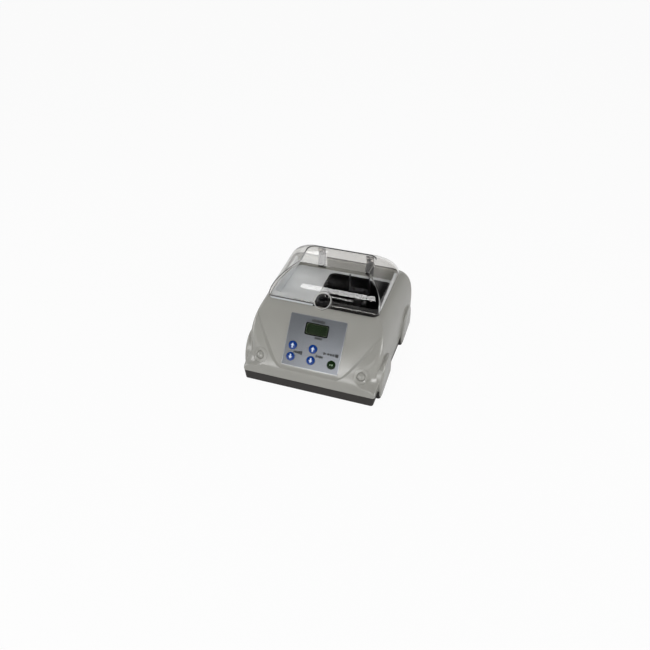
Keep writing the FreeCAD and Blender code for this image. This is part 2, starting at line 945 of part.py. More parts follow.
for x in (face_x - bracket_foot_length + grommet_inset, face_x - bracket_thickness - grommet_inset):
    for y in (drive.y - bracket_half_width + grommet_inset, drive.y + bracket_half_width - grommet_inset):
        floor = Vector(x, y, base_inside)
        boss = Vector(x, y, boss_top)
        pad = Vector(x, y, bracket_foot_height)
        seat = Vector(x, y, foot_top)
        tip = floor - Vector(0, 0, base_floor_thickness / 2)
        base = base.fuse(rod(grommet_radius, floor, boss)).cut(rod(screw_radius, tip, boss))
        grommets.append(tube(grommet_radius, screw_radius, boss, pad))
        bracket = bracket.cut(rod(screw_radius, pad, seat))
        motor_screws.append(
            screw(screw_radius, screw_head_radius, screw_head_height, (seat - tip).Length, tip, (0, 0, 1))
        )
pieces["bracket_grommets"] = Part.makeCompound(grommets)
pieces["motor_screws"] = Part.makeCompound(motor_screws)
pieces["motor_bracket"] = bracket

# Wobble drive: a tilted sleeve on the shaft carries the inner ring and its balls
wobble_turn = Rotation(Vector(0, 0, 1), wobble_angle)
wobble_axis = wobble_turn.multVec(Vector(1, 0, 0))
lie_along = Rotation(Vector(0, 0, 1), wobble_axis)


def wobble_tube(outer, inner, width):
    return tube(outer, inner, drive - wobble_axis * (width / 2), drive + wobble_axis * (width / 2))


sleeve = rod(
    sleeve_radius, drive - wobble_axis * (sleeve_length / 2), drive + wobble_axis * (sleeve_length / 2)
)
pieces["wobble_sleeve"] = sleeve.cut(rod(shaft_radius, on_drive(shaft_start), on_drive(shaft_end)))
groove = Part.makeTorus(ball_pitch, ball_radius + shaft_clearance)
groove.Placement = Placement(drive, lie_along)
pieces["bearing_inner_ring"] = wobble_tube(ring_outer_radius, sleeve_radius, ring_width).cut(groove)
balls = []
for index in range(ball_count):
    angle = 2 * math.pi * index / ball_count
    spot = lie_along.multVec(Vector(ball_pitch * math.cos(angle), ball_pitch * math.sin(angle), 0))
    balls.append(Part.makeSphere(ball_radius, drive + spot))
pieces["bearing_balls"] = Part.makeCompound(balls)
collar_x = shaft_end - collar_length - 1
pieces["shaft_collar"] = drive_tube(collar_radius, shaft_radius, collar_x, collar_x + collar_length)

# Mixing arm that rocks on the bearing, with the capsule clip on its bar
race = ball_pitch + ball_radius + race_clearance
pieces["bearing_outer_ring"] = drive_tube(
    outer_ring_radius, race, drive.x - outer_ring_width / 2, drive.x + outer_ring_width / 2
)
hub_start = on_drive(drive.x - arm_hub_width / 2)
hub_end = on_drive(drive.x + arm_hub_width / 2)
bar_top = arm_bar_bottom + arm_bar_height
clip_half = clip_span / 2
half_neck = arm_neck_width / 2
arm = rod(arm_hub_radius, hub_start, hub_end)
arm = arm.fuse(
    block(
        drive.x - half_neck,
        drive.x + half_neck,
        drive.y - arm_neck_half_depth,
        drive.y + arm_neck_half_depth,
        drive.z + outer_ring_radius,
        bar_top,
    )
)
arm = arm.fuse(
    block(
        drive.x - clip_half - clip_thickness,
        drive.x + clip_half + clip_thickness,
        drive.y - arm_neck_half_depth,
        drive.y + arm_neck_half_depth,
        arm_bar_bottom,
        bar_top,
    )
)
lug_front = drive - Vector(0, arm_hub_radius + tether_lug_length, 0)
arm = arm.fuse(rod(tether_lug_radius, lug_front, drive - Vector(0, outer_ring_radius + 1, 0)))
arm = arm.cut(rod(outer_ring_radius, hub_start, hub_end))


def prong(x0):
    # An upright strip with a rounded top and a hole that takes the end of a capsule.
    low = block(
        x0, x0 + clip_thickness, -clip_half_depth, clip_half_depth, bar_top, clip_top - clip_half_depth
    )
    top = Vector(x0, 0, clip_top - clip_half_depth)
    thick = Vector(clip_thickness, 0, 0)
    strip = low.fuse(rod(clip_half_depth, top, top + thick))
    hole = Vector(x0, 0, clip_hole_height)
    return strip.cut(rod(clip_hole_radius, hole, hole + thick)).removeSplitter()


clip = prong(-clip_half - clip_thickness).fuse(prong(clip_half))
clip = clip.fuse(
    block(
        -clip_half - clip_thickness,
        clip_half + clip_thickness,
        -clip_half_depth,
        clip_half_depth,
        bar_top,
        bar_top + clip_thickness,
    )
)
clip.Placement = Placement(Vector(drive.x, drive.y, 0), Rotation())
clip_screws = []
for x in (drive.x - clip_screw_offset, drive.x + clip_screw_offset):
    tip = Vector(x, drive.y, arm_bar_bottom)
    seat = Vector(x, drive.y, bar_top + clip_thickness)
    hole = rod(screw_radius, tip, seat)
    arm = arm.cut(hole)
    clip = clip.cut(hole)
    clip_screws.append(
        screw(screw_radius, screw_head_radius, screw_head_height, (seat - tip).Length, tip, (0, 0, 1))
    )
pieces["mixing_arm"] = arm
pieces["capsule_clip"] = clip
pieces["clip_screws"] = Part.makeCompound(clip_screws)

# Rubber tether along the rocking axis, which keeps the arm from turning with the shaft
wall_face = Vector(drive.x, well_y0 + well_wall, drive.z)
anchor_end = wall_face + Vector(0, anchor_length, 0)
anchor = rod(anchor_radius, wall_face, anchor_end)
tether_end = lug_front - Vector(0, part_gap, 0)
tether_start = wall_face + Vector(0, anchor_length / 2, 0)
tether = rod(tether_radius, tether_start, tether_end)
pieces["tether_anchor"] = anchor.cut(tether)
pieces["tether"] = tether
pieces["well_liner"] = liner

# Clear lid: a bowed front, leaning sides and an open bottom
rim_front = at(front_depth(rim_height))
rim_back = -front_y - back_setback
rim_half_front = base_half_front - front_taper
rim_half_back = base_half_back - back_taper
lid_bottom = rim_height + lid_seat_gap


canopy_bottom = lid_bottom + lid_lip
canopy_height = lid_height - lid_lip


def lid_section(share, inset, drop):
    lean = (1 - lid_front_bow) * share + lid_front_bow * share**2
    front = rim_front + lid_margin + lid_front_run * lean + inset
    back = rim_back - lid_margin - lid_back_run * share**3 - inset
    half_front = rim_half_front - lid_margin - lid_side_run * share**lid_side_curve - inset
    half_back = rim_half_back - lid_margin - lid_side_run_back * share**lid_side_curve_back - inset
    points = [(-half_front, front), (half_front, front), (half_back, back), (-half_back, back)]
    radii = [lid_corner_front, lid_corner_front, lid_corner_back, lid_corner_back]
    return outline(
        points, [radius - inset / 2 for radius in radii], canopy_bottom + canopy_height * share - drop
    )


def lid_form(inset, drop, skirt):
    # The bowed canopy over an upright skirt that reaches down from it.
    shares = [index / (lid_section_count - 1) for index in range(lid_section_count)]
    canopy = Part.makeLoft([lid_section(share, inset, drop) for share in shares], True, False)
    return canopy.fuse(Part.Face(lid_section(0.0, inset, drop)).extrude(Vector(0, 0, -skirt)))


lid_outer = lid_form(0.0, 0.0, lid_lip)
lid_inner = lid_form(lid_wall, lid_top_wall, lid_lip)
lid = lid_outer

# Round thumb tab low on the lid's front, with a clear knob
tab_share = (tab_rise - lid_lip) / canopy_height
tab_lean = (1 - lid_front_bow) * tab_share + lid_front_bow * tab_share**2
tab_run = lid_front_run * (1 - lid_front_bow + 2 * lid_front_bow * tab_share)
tab_spot = Vector(0, rim_front + lid_margin + lid_front_run * tab_lean, lid_bottom + tab_rise)
tab_out = Vector(0, -canopy_height, tab_run).normalize()
tab = rod(tab_radius, tab_spot - tab_out * lid_wall, tab_spot + tab_out * tab_thickness)
tab = tab.cut(casing_form(-part_gap))
lid = lid.fuse(tab).cut(lid_inner)
knob_seat = tab_spot + tab_out * tab_thickness
stem_end = tab_spot - tab_out * (lid_wall + 3)
lid = lid.cut(rod(knob_stem_radius, stem_end, knob_seat))
knob_sphere = (knob_radius**2 + knob_height**2) / (2 * knob_height)
knob = Part.makeSphere(knob_sphere, knob_seat + tab_out * (knob_height - knob_sphere))
knob = knob.common(rod(knob_radius, knob_seat, knob_seat + tab_out * (knob_height + 1)))
pieces["lid_knob"] = knob.fuse(rod(knob_stem_radius, stem_end, knob_seat))

# Hinge arms: a strap on the lid's back wall and a barrel on the pin
strap_low = lid_bottom + 0.7
strap_top = lid_bottom + arm_strap_height
strap_back = rim_back - lid_margin - lid_wall
strap_front = strap_back - arm_strap_thickness
strap_core = lid_form(lid_wall + arm_strap_thickness, lid_top_wall, lid_lip)
arm_screws = []
for name, side in (("left", -1), ("right", 1)):
    x = side * hinge_offset
    half = arm_width / 2
    strap = block(x - half, x + half, strap_front - 12, strap_back + 5, strap_low, strap_top)
    strap = strap.common(lid_inner).cut(strap_core)
    leg_points = [
        Vector(x - half, strap_front, strap_low + 4),
        Vector(x - half, strap_back - 0.1, strap_low + 4),
        Vector(x - half, strap_back - 0.1, lid_bottom - 0.5),
        Vector(x - half, pivot.y + barrel_radius * 0.95, pivot.z + barrel_radius * 0.3),
        Vector(x - half, pivot.y, pivot.z),
        Vector(x - half, pivot.y - barrel_radius * 0.95, pivot.z - barrel_radius * 0.3),
    ]
    leg = Part.Face(Part.makePolygon(leg_points + leg_points[:1])).extrude(Vector(arm_width, 0, 0))
    barrel_start = Vector(x - half, pivot.y, pivot.z)
    barrel_end = Vector(x + half, pivot.y, pivot.z)
    hinge_arm = strap.fuse(leg).fuse(rod(barrel_radius, barrel_start, barrel_end))
    if side > 0:
        cam_y0 = pivot.y - cam_half_width
        cam_y1 = pivot.y + cam_half_width
        hinge_arm = hinge_arm.fuse(block(x - half, x + half, cam_y0, cam_y1, pivot.z - cam_radius, pivot.z))
    hinge_arm = hinge_arm.cut(rod(pin_radius + pin_clearance, barrel_start, barrel_end))
    for height in (arm_screw_low, arm_screw_high):
        share = max(0.0, (height - lid_lip) / canopy_height)
        tip = Vector(x, rim_back - lid_margin - lid_back_run * share**3, lid_bottom + height)
        tip = tip - Vector(0, lid_wall * 0.4, 0)
        seat = tip - Vector(0, lid_wall * 0.6 + arm_strap_thickness + 0.6, 0)
        hole = rod(small_screw_radius, tip, seat - Vector(0, 5, 0))
        lid = lid.cut(hole)
        hinge_arm = hinge_arm.cut(hole).cut(rod(small_head_radius + part_gap, seat, seat - Vector(0, 5, 0)))
        arm_screws.append(
            screw(
                small_screw_radius,
                small_head_radius,
                small_head_height,
                (seat - tip).Length,
                tip,
                (0, -1, 0),
            )
        )
    pieces["hinge_arm_" + name] = hinge_arm
pieces["hinge_arm_screws"] = Part.makeCompound(arm_screws)
pieces["lid"] = lid

# Lid interlock: a small switch under the right hinge arm's cam
plunger_top = pivot.z - cam_radius - plunger_gap
switch_top = plunger_top - plunger_exposed
switch_y = tray_y1 + interlock_thickness / 2
half = plunger_width / 2
plunger_low = plunger_top - plunger_length
pieces["interlock_plunger"] = block(
    hinge_offset - half, hinge_offset + half, switch_y - half, switch_y + half, plunger_low, plunger_top
)
room = half + 0.1
interlock = block(
    hinge_offset - interlock_width / 2,
    hinge_offset + interlock_width / 2,
    tray_y1,
    tray_y1 + interlock_thickness,
    switch_top - interlock_height,
    switch_top,
)
pieces["interlock_switch"] = interlock.cut(
    block(
        hinge_offset - room,
        hinge_offset + room,
        switch_y - room,
        switch_y + room,
        plunger_low - 0.2,
        switch_top,
    )
)

# Back panel with the mains inlet, fuse and rocker switch
panel_back = back_y - casing_wall - plate_gap
panel_front = panel_back - plate_thickness
back_panel = upright(
    plate_left - plate_flange,
    plate_right + plate_flange,
    plate_bottom - plate_flange / 2,
    plate_top + plate_flange,
    plate_corner,
    panel_front,
    panel_back,
)


def inlet_box(half_width, half_height, y0, y1, radius=1.0):
    return upright(
        inlet_x - half_width,
        inlet_x + half_width,
        mains_height - half_height,
        mains_height + half_height,
        radius,
        y0,
        y1,
    )


inlet = inlet_box(inlet_width / 2, inlet_height / 2, panel_back - inlet_body_depth, panel_back)
rim_y = panel_back + inlet_rim_thickness
inlet = inlet.fuse(inlet_box(inlet_width / 2 + inlet_rim, inlet_height / 2 + inlet_rim, panel_back, rim_y))
inlet = inlet.cut(
    inlet_box(socket_width / 2, socket_height / 2, rim_y - socket_depth, rim_y + 1, socket_corner)
)
back_panel = back_panel.cut(inlet_box(inlet_width / 2, inlet_height / 2, panel_front - 1, panel_back + 1))
pieces["mains_inlet"] = inlet
blades = []
for index in (-1, 0, 1):
    x = inlet_x + blade_spacing * index
    z = mains_height + blade_drop * (1 if index == 0 else -1)
    blades.append(
        block(
            x - blade_width / 2,
            x + blade_width / 2,
            rim_y - socket_depth,
            rim_y - socket_depth + blade_length,
            z - blade_height / 2,
            z + blade_height / 2,
        )
    )
pieces["inlet_blades"] = Part.makeCompound(blades)


def fuse_at(y):
    return Vector(fuse_x, y, mains_height)


fuse_rim_y = panel_back + fuse_rim_thickness
fuse_holder = rod(fuse_radius, fuse_at(panel_back - fuse_body_depth), fuse_at(panel_back))
fuse_holder = fuse_holder.fuse(rod(fuse_rim_radius, fuse_at(panel_back), fuse_at(fuse_rim_y)))
cap_end = fuse_rim_y + fuse_cap_proud
fuse_bore = fuse_cap_radius + pin_clearance
fuse_holder = fuse_holder.cut(
    rod(fuse_bore, fuse_at(cap_end - fuse_cap_length - part_gap), fuse_at(cap_end))
)
fuse_cap = rod(fuse_cap_radius, fuse_at(cap_end - fuse_cap_length), fuse_at(cap_end))
half = fuse_slot_width / 2
fuse_cap = fuse_cap.cut(
    block(
        fuse_x - fuse_cap_radius,
        fuse_x + fuse_cap_radius,
        cap_end - 1.2,
        cap_end + 1,
        mains_height - half,
        mains_height + half,
    )
)
back_panel = back_panel.cut(rod(fuse_radius, fuse_at(panel_front - 1), fuse_at(panel_back + 1)))
pieces["fuse_holder"] = fuse_holder
pieces["fuse_cap"] = fuse_cap


def rocker_box(half_width, half_height, y0, y1, radius=0.6):
    return upright(
        rocker_x - half_width,
        rocker_x + half_width,
        mains_height - half_height,
        mains_height + half_height,
        radius,
        y0,
        y1,
    )


rocker_half_width = rocker_width / 2
rocker_half_height = rocker_height / 2
body_half_width = rocker_half_width + rocker_body_wall
body_half_height = rocker_half_height + rocker_body_wall
frame_y = panel_back + rocker_frame_thickness
switch_frame = rocker_box(body_half_width, body_half_height, panel_back - rocker_body_depth, panel_back)
switch_frame = switch_frame.fuse(
    rocker_box(body_half_width + rocker_frame, body_half_height + rocker_frame, panel_back, frame_y)
)
rocker_pivot = Vector(rocker_x, frame_y - rocker_pivot_depth, mains_height)
rocker_room = rocker_box(rocker_half_width, rocker_half_height, rocker_pivot.y - rocker_height, frame_y + 1)
switch_frame = switch_frame.cut(
    rocker_room.cut(block(-300, 300, -300, rocker_pivot.y - rocker_back - 3, 0, 300))
)
back_panel = back_panel.cut(rocker_box(body_half_width, body_half_height, panel_front - 1, panel_back + 1))
pieces["switch_frame"] = switch_frame
rocker_radius = rocker_half_height - rocker_gap
side_reach = Vector(rocker_half_width - rocker_gap, 0, 0)
rocker = rod(rocker_radius, rocker_pivot - side_reach, rocker_pivot + side_reach)
rocker = rocker.common(block(-300, 300, rocker_pivot.y - rocker_back, rocker_pivot.y + rocker_nose, 0, 300))
vee = [
    Vector(rocker_x - rocker_width, rocker_pivot.y + rocker_nose, mains_height + rocker_radius * 0.8),
    Vector(rocker_x - rocker_width, rocker_pivot.y + rocker_nose / 2, mains_height),
    Vector(rocker_x - rocker_width, rocker_pivot.y + rocker_nose, mains_height - rocker_radius * 0.8),
    Vector(rocker_x - rocker_width, rocker_pivot.y + rocker_nose + 5, mains_height),
]
rocker = rocker.cut(Part.Face(Part.makePolygon(vee + vee[:1])).extrude(Vector(2 * rocker_width, 0, 0)))
rocker.rotate(rocker_pivot, Vector(1, 0, 0), -rocker_angle)
pieces["power_rocker"] = rocker
plate_screws = []
for x in (plate_left - plate_flange / 2, plate_right + plate_flange / 2):
    tip = Vector(x, back_y - casing_wall / 2, plate_top + plate_flange / 2)
    seat = Vector(x, panel_front, plate_top + plate_flange / 2)
    hole = rod(small_screw_radius, tip, seat)
    back_panel = back_panel.cut(hole)
    casing = casing.cut(hole)
    plate_screws.append(
        screw(
            small_screw_radius, small_head_radius, small_head_height, (seat - tip).Length, tip, (0, -1, 0)
        )
    )
pieces["back_panel"] = back_panel
pieces["back_panel_screws"] = Part.makeCompound(plate_screws)
pieces["casing"] = casing

# Power board on posts in the base, with its transformer, relay and capacitor
board_x0 = power_board_x - power_board_width / 2
board_x1 = power_board_x + power_board_width / 2
board_y0 = at(power_board_depth) - power_board_length / 2
board_y1 = at(power_board_depth) + power_board_length / 2
board_top = power_board_height + board_thickness
power_board = block(board_x0, board_x1, board_y0, board_y1, power_board_height, board_top)
for x in (board_x0 + board_margin, board_x1 - board_margin):
    for y in (board_y0 + board_margin, board_y1 - board_margin):
        floor = Vector(x, y, base_inside)
        post_top = Vector(x, y, power_board_height)
        seat = Vector(x, y, board_top)
        hole = rod(small_screw_radius, floor, seat)
        base = base.fuse(rod(power_post_radius, floor, post_top)).cut(hole)
        power_board = power_board.cut(hole)
        board_screws.append(
            screw(
                small_screw_radius,
                small_head_radius,
                small_head_height,
                (seat - floor).Length,
                floor,
                (0, 0, 1),
            )
        )
pieces["power_board"] = power_board
pieces["board_screws"] = Part.makeCompound(board_screws)
left_edge = board_x0 + 2 * board_margin
front_edge = board_y0 + 2 * board_margin
pieces["transformer"] = block(
    left_edge,
    left_edge + transformer_width,
    front_edge,
    front_edge + transformer_length,
    board_top,
    board_top + transformer_height,
)
relay_x = board_x1 - board_margin - relay_width
relay = block(
    relay_x,
    relay_x + relay_width,
    front_edge,
    front_edge + relay_length,
    board_top,
    board_top + relay_height,
)
can_spot = Vector(left_edge + capacitor_radius, board_y1 - capacitor_radius - 1, board_top)
capacitor_top = can_spot + Vector(0, 0, capacitor_height)
pieces["board_parts"] = Part.makeCompound([relay, rod(capacitor_radius, can_spot, capacitor_top)])
pieces["base_tray"] = base

# Write every piece
os.makedirs("parts", exist_ok=True)
for name, shape in pieces.items():
    shape.exportStep("parts/" + name + ".step")
    print(name, shape.isValid(), len(shape.Solids), round(shape.Volume / 1000, 2))
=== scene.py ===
import json
import math

import bpy
from mathutils import Matrix, Quaternion, Vector

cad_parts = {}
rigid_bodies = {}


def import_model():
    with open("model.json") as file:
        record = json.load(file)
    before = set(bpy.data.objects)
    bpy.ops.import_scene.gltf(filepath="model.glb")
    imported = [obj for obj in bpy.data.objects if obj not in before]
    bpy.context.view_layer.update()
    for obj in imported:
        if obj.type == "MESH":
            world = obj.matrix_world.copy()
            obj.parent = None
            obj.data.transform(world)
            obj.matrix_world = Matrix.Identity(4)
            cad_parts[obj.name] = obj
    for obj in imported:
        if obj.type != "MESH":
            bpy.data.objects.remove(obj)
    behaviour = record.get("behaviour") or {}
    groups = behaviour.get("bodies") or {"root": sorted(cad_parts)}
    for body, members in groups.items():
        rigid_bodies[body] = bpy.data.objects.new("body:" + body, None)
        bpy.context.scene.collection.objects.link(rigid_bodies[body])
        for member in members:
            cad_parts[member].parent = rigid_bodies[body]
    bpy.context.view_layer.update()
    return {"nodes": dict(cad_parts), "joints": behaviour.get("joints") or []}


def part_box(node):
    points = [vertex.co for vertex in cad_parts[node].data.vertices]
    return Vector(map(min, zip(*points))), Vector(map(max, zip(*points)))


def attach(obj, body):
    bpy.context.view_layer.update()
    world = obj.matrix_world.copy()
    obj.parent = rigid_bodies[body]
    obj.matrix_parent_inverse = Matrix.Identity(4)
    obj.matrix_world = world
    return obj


for leftover in list(bpy.data.objects):
    bpy.data.objects.remove(leftover)
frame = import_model()
MM = 0.001


# Base tray. A dark grey-brown ABS moulding that closes the casing from below. Its mould
# is spark eroded, so it looks dull beside the casing, and four screws hold it from
# underneath.
def to_linear(colour):
    channels = [int(colour[start : start + 2], 16) / 255 for start in (1, 3, 5)]
    return [c / 12.92 if c <= 0.04045 else ((c + 0.055) / 1.055) ** 2.4 for c in channels] + [1.0]


def add_node(tree, kind, settings=None, links=None):
    node = tree.nodes.new(kind)
    for key, value in (settings or {}).items():
        if isinstance(key, str) and hasattr(node, key):
            setattr(node, key, value)
        else:
            node.inputs[key].default_value = value
    for key, source in (links or {}).items():
        tree.links.new(source, node.inputs[key])
    return node


def new_finish(name):
    finish = bpy.data.materials.new(name)
    finish.use_nodes = True
    finish.node_tree.nodes.clear()
    return finish, finish.node_tree


# Noise stays near its middle, so a finish is spread between a low and a high value of it. An edge
# is painted paler, as rubbed wear and as a painted highlight, where the rounded normal turns from the face's
# by these cosines.
NOISE_LOW = 0.3
NOISE_HIGH = 0.7
FLOW_CLOUD = 45 * MM
FLOW_GLOSS_DROP = 0.05
FLOW_GLOSS_RISE = 0.06
WORN_AND_HIGHLIT_EDGE_FROM = 0.94
WORN_AND_HIGHLIT_EDGE_FULL = 0.75
WORN_AND_HIGHLIT_EDGE_SHARE = 0.6
PLASTIC_IOR = 1.54


def moulded_skin(
    name, colour, cloud_colour, roughness, grain_mm, grain_depth_mm, edge_mm=0.3, edge_wear_and_highlight_colour=None, shine=0.5
):
    # Slow clouds of colour where the melt or paint flowed, a fine grain in the skin, and edges
    # that the tool left slightly round, painted paler along the rounding: partly rubbed wear, partly a
    # painted highlight.
    finish, tree = new_finish(name)
    place = add_node(tree, "ShaderNodeTexCoord").outputs["Object"]
    clouds = add_node(
        tree, "ShaderNodeTexNoise", {"Scale": 1 / FLOW_CLOUD, "Detail": 4.0}, {"Vector": place}
    ).outputs["Fac"]
    grain = add_node(
        tree, "ShaderNodeTexNoise", {"Scale": 1 / (grain_mm * MM), "Detail": 2.0}, {"Vector": place}
    ).outputs["Fac"]
    tint = add_node(
        tree,
        "ShaderNodeMix",
        {"data_type": "RGBA", 6: to_linear(colour), 7: to_linear(cloud_colour)},
        {0: clouds},
    ).outputs[2]
    rounded = add_node(tree, "ShaderNodeBevel", {"samples": 4, "Radius": edge_mm * MM}).outputs["Normal"]
    face = add_node(tree, "ShaderNodeNewGeometry").outputs["Normal"]
    turn = add_node(
        tree, "ShaderNodeVectorMath", {"operation": "DOT_PRODUCT"}, {0: rounded, 1: face}
    ).outputs["Value"]
    worn_and_highlit_edge = add_node(
        tree,
        "ShaderNodeMapRange",
        {"From Min": WORN_AND_HIGHLIT_EDGE_FROM, "From Max": WORN_AND_HIGHLIT_EDGE_FULL, "To Max": WORN_AND_HIGHLIT_EDGE_SHARE},
        {"Value": turn},
    ).outputs["Result"]
    # Paler colour along rounded edges: partly rubbed wear, partly a painted highlight.
    tint = add_node(
        tree,
        "ShaderNodeMix",
        {"data_type": "RGBA", 7: to_linear(edge_wear_and_highlight_colour or cloud_colour)},
        {0: worn_and_highlit_edge, 6: tint},
    ).outputs[2]
    gloss = add_node(
        tree,
        "ShaderNodeMapRange",
        {
            "From Min": NOISE_LOW,
            "From Max": NOISE_HIGH,
            "To Min": roughness - FLOW_GLOSS_DROP,
            "To Max": roughness + FLOW_GLOSS_RISE,
        },
        {"Value": clouds},
    ).outputs["Result"]
    relief = add_node(
        tree,
        "ShaderNodeBump",
        {"Strength": 0.5, "Distance": grain_depth_mm * MM},
        {"Height": grain, "Normal": rounded},
    ).outputs["Normal"]
    shader = add_node(
        tree,
        "ShaderNodeBsdfPrincipled",
        {"IOR": PLASTIC_IOR, "Specular IOR Level": shine},
        {"Base Color": tint, "Roughness": gloss, "Normal": relief},
    )
    add_node(tree, "ShaderNodeOutputMaterial", {}, {"Surface": shader.outputs["BSDF"]})
    return finish


def finish_nodes(finish, *names):
    for name in names:
        frame["nodes"][name].material_slots[0].material = finish


# Textured dark ABS: dull, slightly brown, and paler along its edges.
dark_abs = moulded_skin(
    "textured_dark_abs", "#1f1c1a", "#282421",
    roughness=0.55, grain_mm=0.9, grain_depth_mm=0.05, edge_mm=0.8, edge_wear_and_highlight_colour="#625d59",
)
finish_nodes(dark_abs, "base_tray")

# Feet, seal, tether and grommets. Soft black rubber, compression moulded. The feet push
# into the base's lugs, the seal lies round the shaft, and the tether keeps the mixing arm
# from turning.

# Moulded rubber: a dull skin with a light dusting.
rubber = moulded_skin(
    "moulded_black_rubber", "#1b1b1c", "#2a2a2a", roughness=0.78, grain_mm=1.2, grain_depth_mm=0.06
)
finish_nodes(rubber, "rubber_feet", "shaft_seal", "tether", "bracket_grommets")


# Screws, motor bracket and motor can. Steel, pressed or turned, then zinc plated. The
# bracket stands on the base by its grommets and carries the motor.
WORKED_CLOUD = 9 * MM
LINE_STRETCH = 0.06
LINE_GLOSS_DROP = 0.06
LINE_GLOSS_RISE = 0.08


def worked_metal(name, colour, cloud_colour, roughness, line_mm, line_depth_mm):
    # Fine lines run along the piece where a tool or roller passed.
    finish, tree = new_finish(name)
    place = add_node(tree, "ShaderNodeTexCoord").outputs["Object"]
    drawn_out = add_node(
        tree, "ShaderNodeMapping", {"Scale": (LINE_STRETCH, 1.0, 1.0)}, {"Vector": place}
    ).outputs["Vector"]
    lines = add_node(
        tree, "ShaderNodeTexNoise", {"Scale": 1 / (line_mm * MM), "Detail": 3.0}, {"Vector": drawn_out}
    ).outputs["Fac"]
    clouds = add_node(
        tree, "ShaderNodeTexNoise", {"Scale": 1 / WORKED_CLOUD, "Detail": 3.0}, {"Vector": place}
    ).outputs["Fac"]
    tint = add_node(
        tree,
        "ShaderNodeMix",
        {"data_type": "RGBA", 6: to_linear(colour), 7: to_linear(cloud_colour)},
        {0: clouds},
    ).outputs[2]
    gloss = add_node(
        tree,
        "ShaderNodeMapRange",
        {
            "From Min": NOISE_LOW,
            "From Max": NOISE_HIGH,
            "To Min": roughness - LINE_GLOSS_DROP,
            "To Max": roughness + LINE_GLOSS_RISE,
        },
        {"Value": lines},
    ).outputs["Result"]
    relief = add_node(
        tree, "ShaderNodeBump", {"Strength": 0.4, "Distance": line_depth_mm * MM}, {"Height": lines}
    ).outputs["Normal"]
    shader = add_node(
        tree,
        "ShaderNodeBsdfPrincipled",
        {"Metallic": 1.0},
        {"Base Color": tint, "Roughness": gloss, "Normal": relief},
    )
    add_node(tree, "ShaderNodeOutputMaterial", {}, {"Surface": shader.outputs["BSDF"]})
    return finish


# Zinc plated steel: bright with a faint blue cast, cloudy where the plating lies thicker.
zinc = worked_metal(
    "zinc_plated_steel", "#b9bcc0", "#a5a9b0", roughness=0.34, line_mm=0.8, line_depth_mm=0.02
)
finish_nodes(
    zinc, "base_screws", "back_panel_screws", "board_screws", "motor_screws", "motor_bracket", "motor_can",
    "tether_anchor",
)

# Motor inside. Two die-cast bells close the can, an iron stator sits between them,
# and the shaft turns in bushings pressed into the bells.

# Die-cast aluminium: a flat grey with the mould's flow lines.
cast_aluminium = worked_metal(
    "die_cast_aluminium", "#a9abad", "#999b9d", roughness=0.5, line_mm=1.6, line_depth_mm=0.04
)
finish_nodes(cast_aluminium, "motor_front_bell", "motor_back_bell")
# Lacquered iron: dark, brownish where the lacquer is thick, with a soft gloss.
lacquered_iron = moulded_skin(
    "lacquered_laminated_iron", "#3a3638", "#4b3c34", roughness=0.42, grain_mm=0.8, grain_depth_mm=0.08
)
finish_nodes(lacquered_iron, "motor_stator", "rotor_core", "transformer")
# Sintered bronze: warm and matt from its open pores.
bronze = worked_metal(
    "sintered_bronze", "#a98650", "#8f6f3f", roughness=0.46, line_mm=0.7, line_depth_mm=0.03
)
finish_nodes(bronze, "motor_bushings")

# Shaft, wobble sleeve, bearing, pins and inlet blades. Bare steel, turned and ground. The
# tilted sleeve is fixed on the shaft and rocks the bearing's outer ring.

# Ground steel: bright, with very fine grinding lines.
steel = worked_metal(
    "ground_bare_steel", "#b4b5b6", "#a3a4a6", roughness=0.22, line_mm=0.5, line_depth_mm=0.01
)
finish_nodes(
    steel, "motor_shaft", "wobble_sleeve", "bearing_inner_ring", "bearing_balls", "bearing_outer_ring",
    "shaft_collar", "hinge_pins", "inlet_blades",
)

# Casing, domed caps and dish beads. The casing is one pale warm-grey ABS moulding, screwed
# to the base. The caps push into two round dishes, and a thin raised bead runs round each.

# Polished ABS: glossy with soft reflections, and pale lines along its rounded edges, which are painted
# highlights.
pale_abs = moulded_skin(
    "polished_grey_abs", "#a1a09a", "#a7a6a0",
    roughness=0.15, grain_mm=0.7, grain_depth_mm=0.012, edge_mm=0.9, edge_wear_and_highlight_colour="#dddcd6",
)
finish_nodes(pale_abs, "casing", "dome_cap_left", "dome_cap_right")


def press_on(piece, node):
    # The piece is laid on a node's surface along its own Z axis.
    press = piece.modifiers.new("press", "SHRINKWRAP")
    press.target = frame["nodes"][node]
    press.wrap_method = "PROJECT"
    press.use_project_z = True
    press.use_negative_direction = True
    press.use_positive_direction = False
    bpy.ops.object.modifier_apply(modifier=press.name)


def thicken(piece, thickness, offset):
    wall = piece.modifiers.new("wall", "SOLIDIFY")
    wall.thickness = thickness
    wall.offset = offset
    bpy.ops.object.modifier_apply(modifier=wall.name)


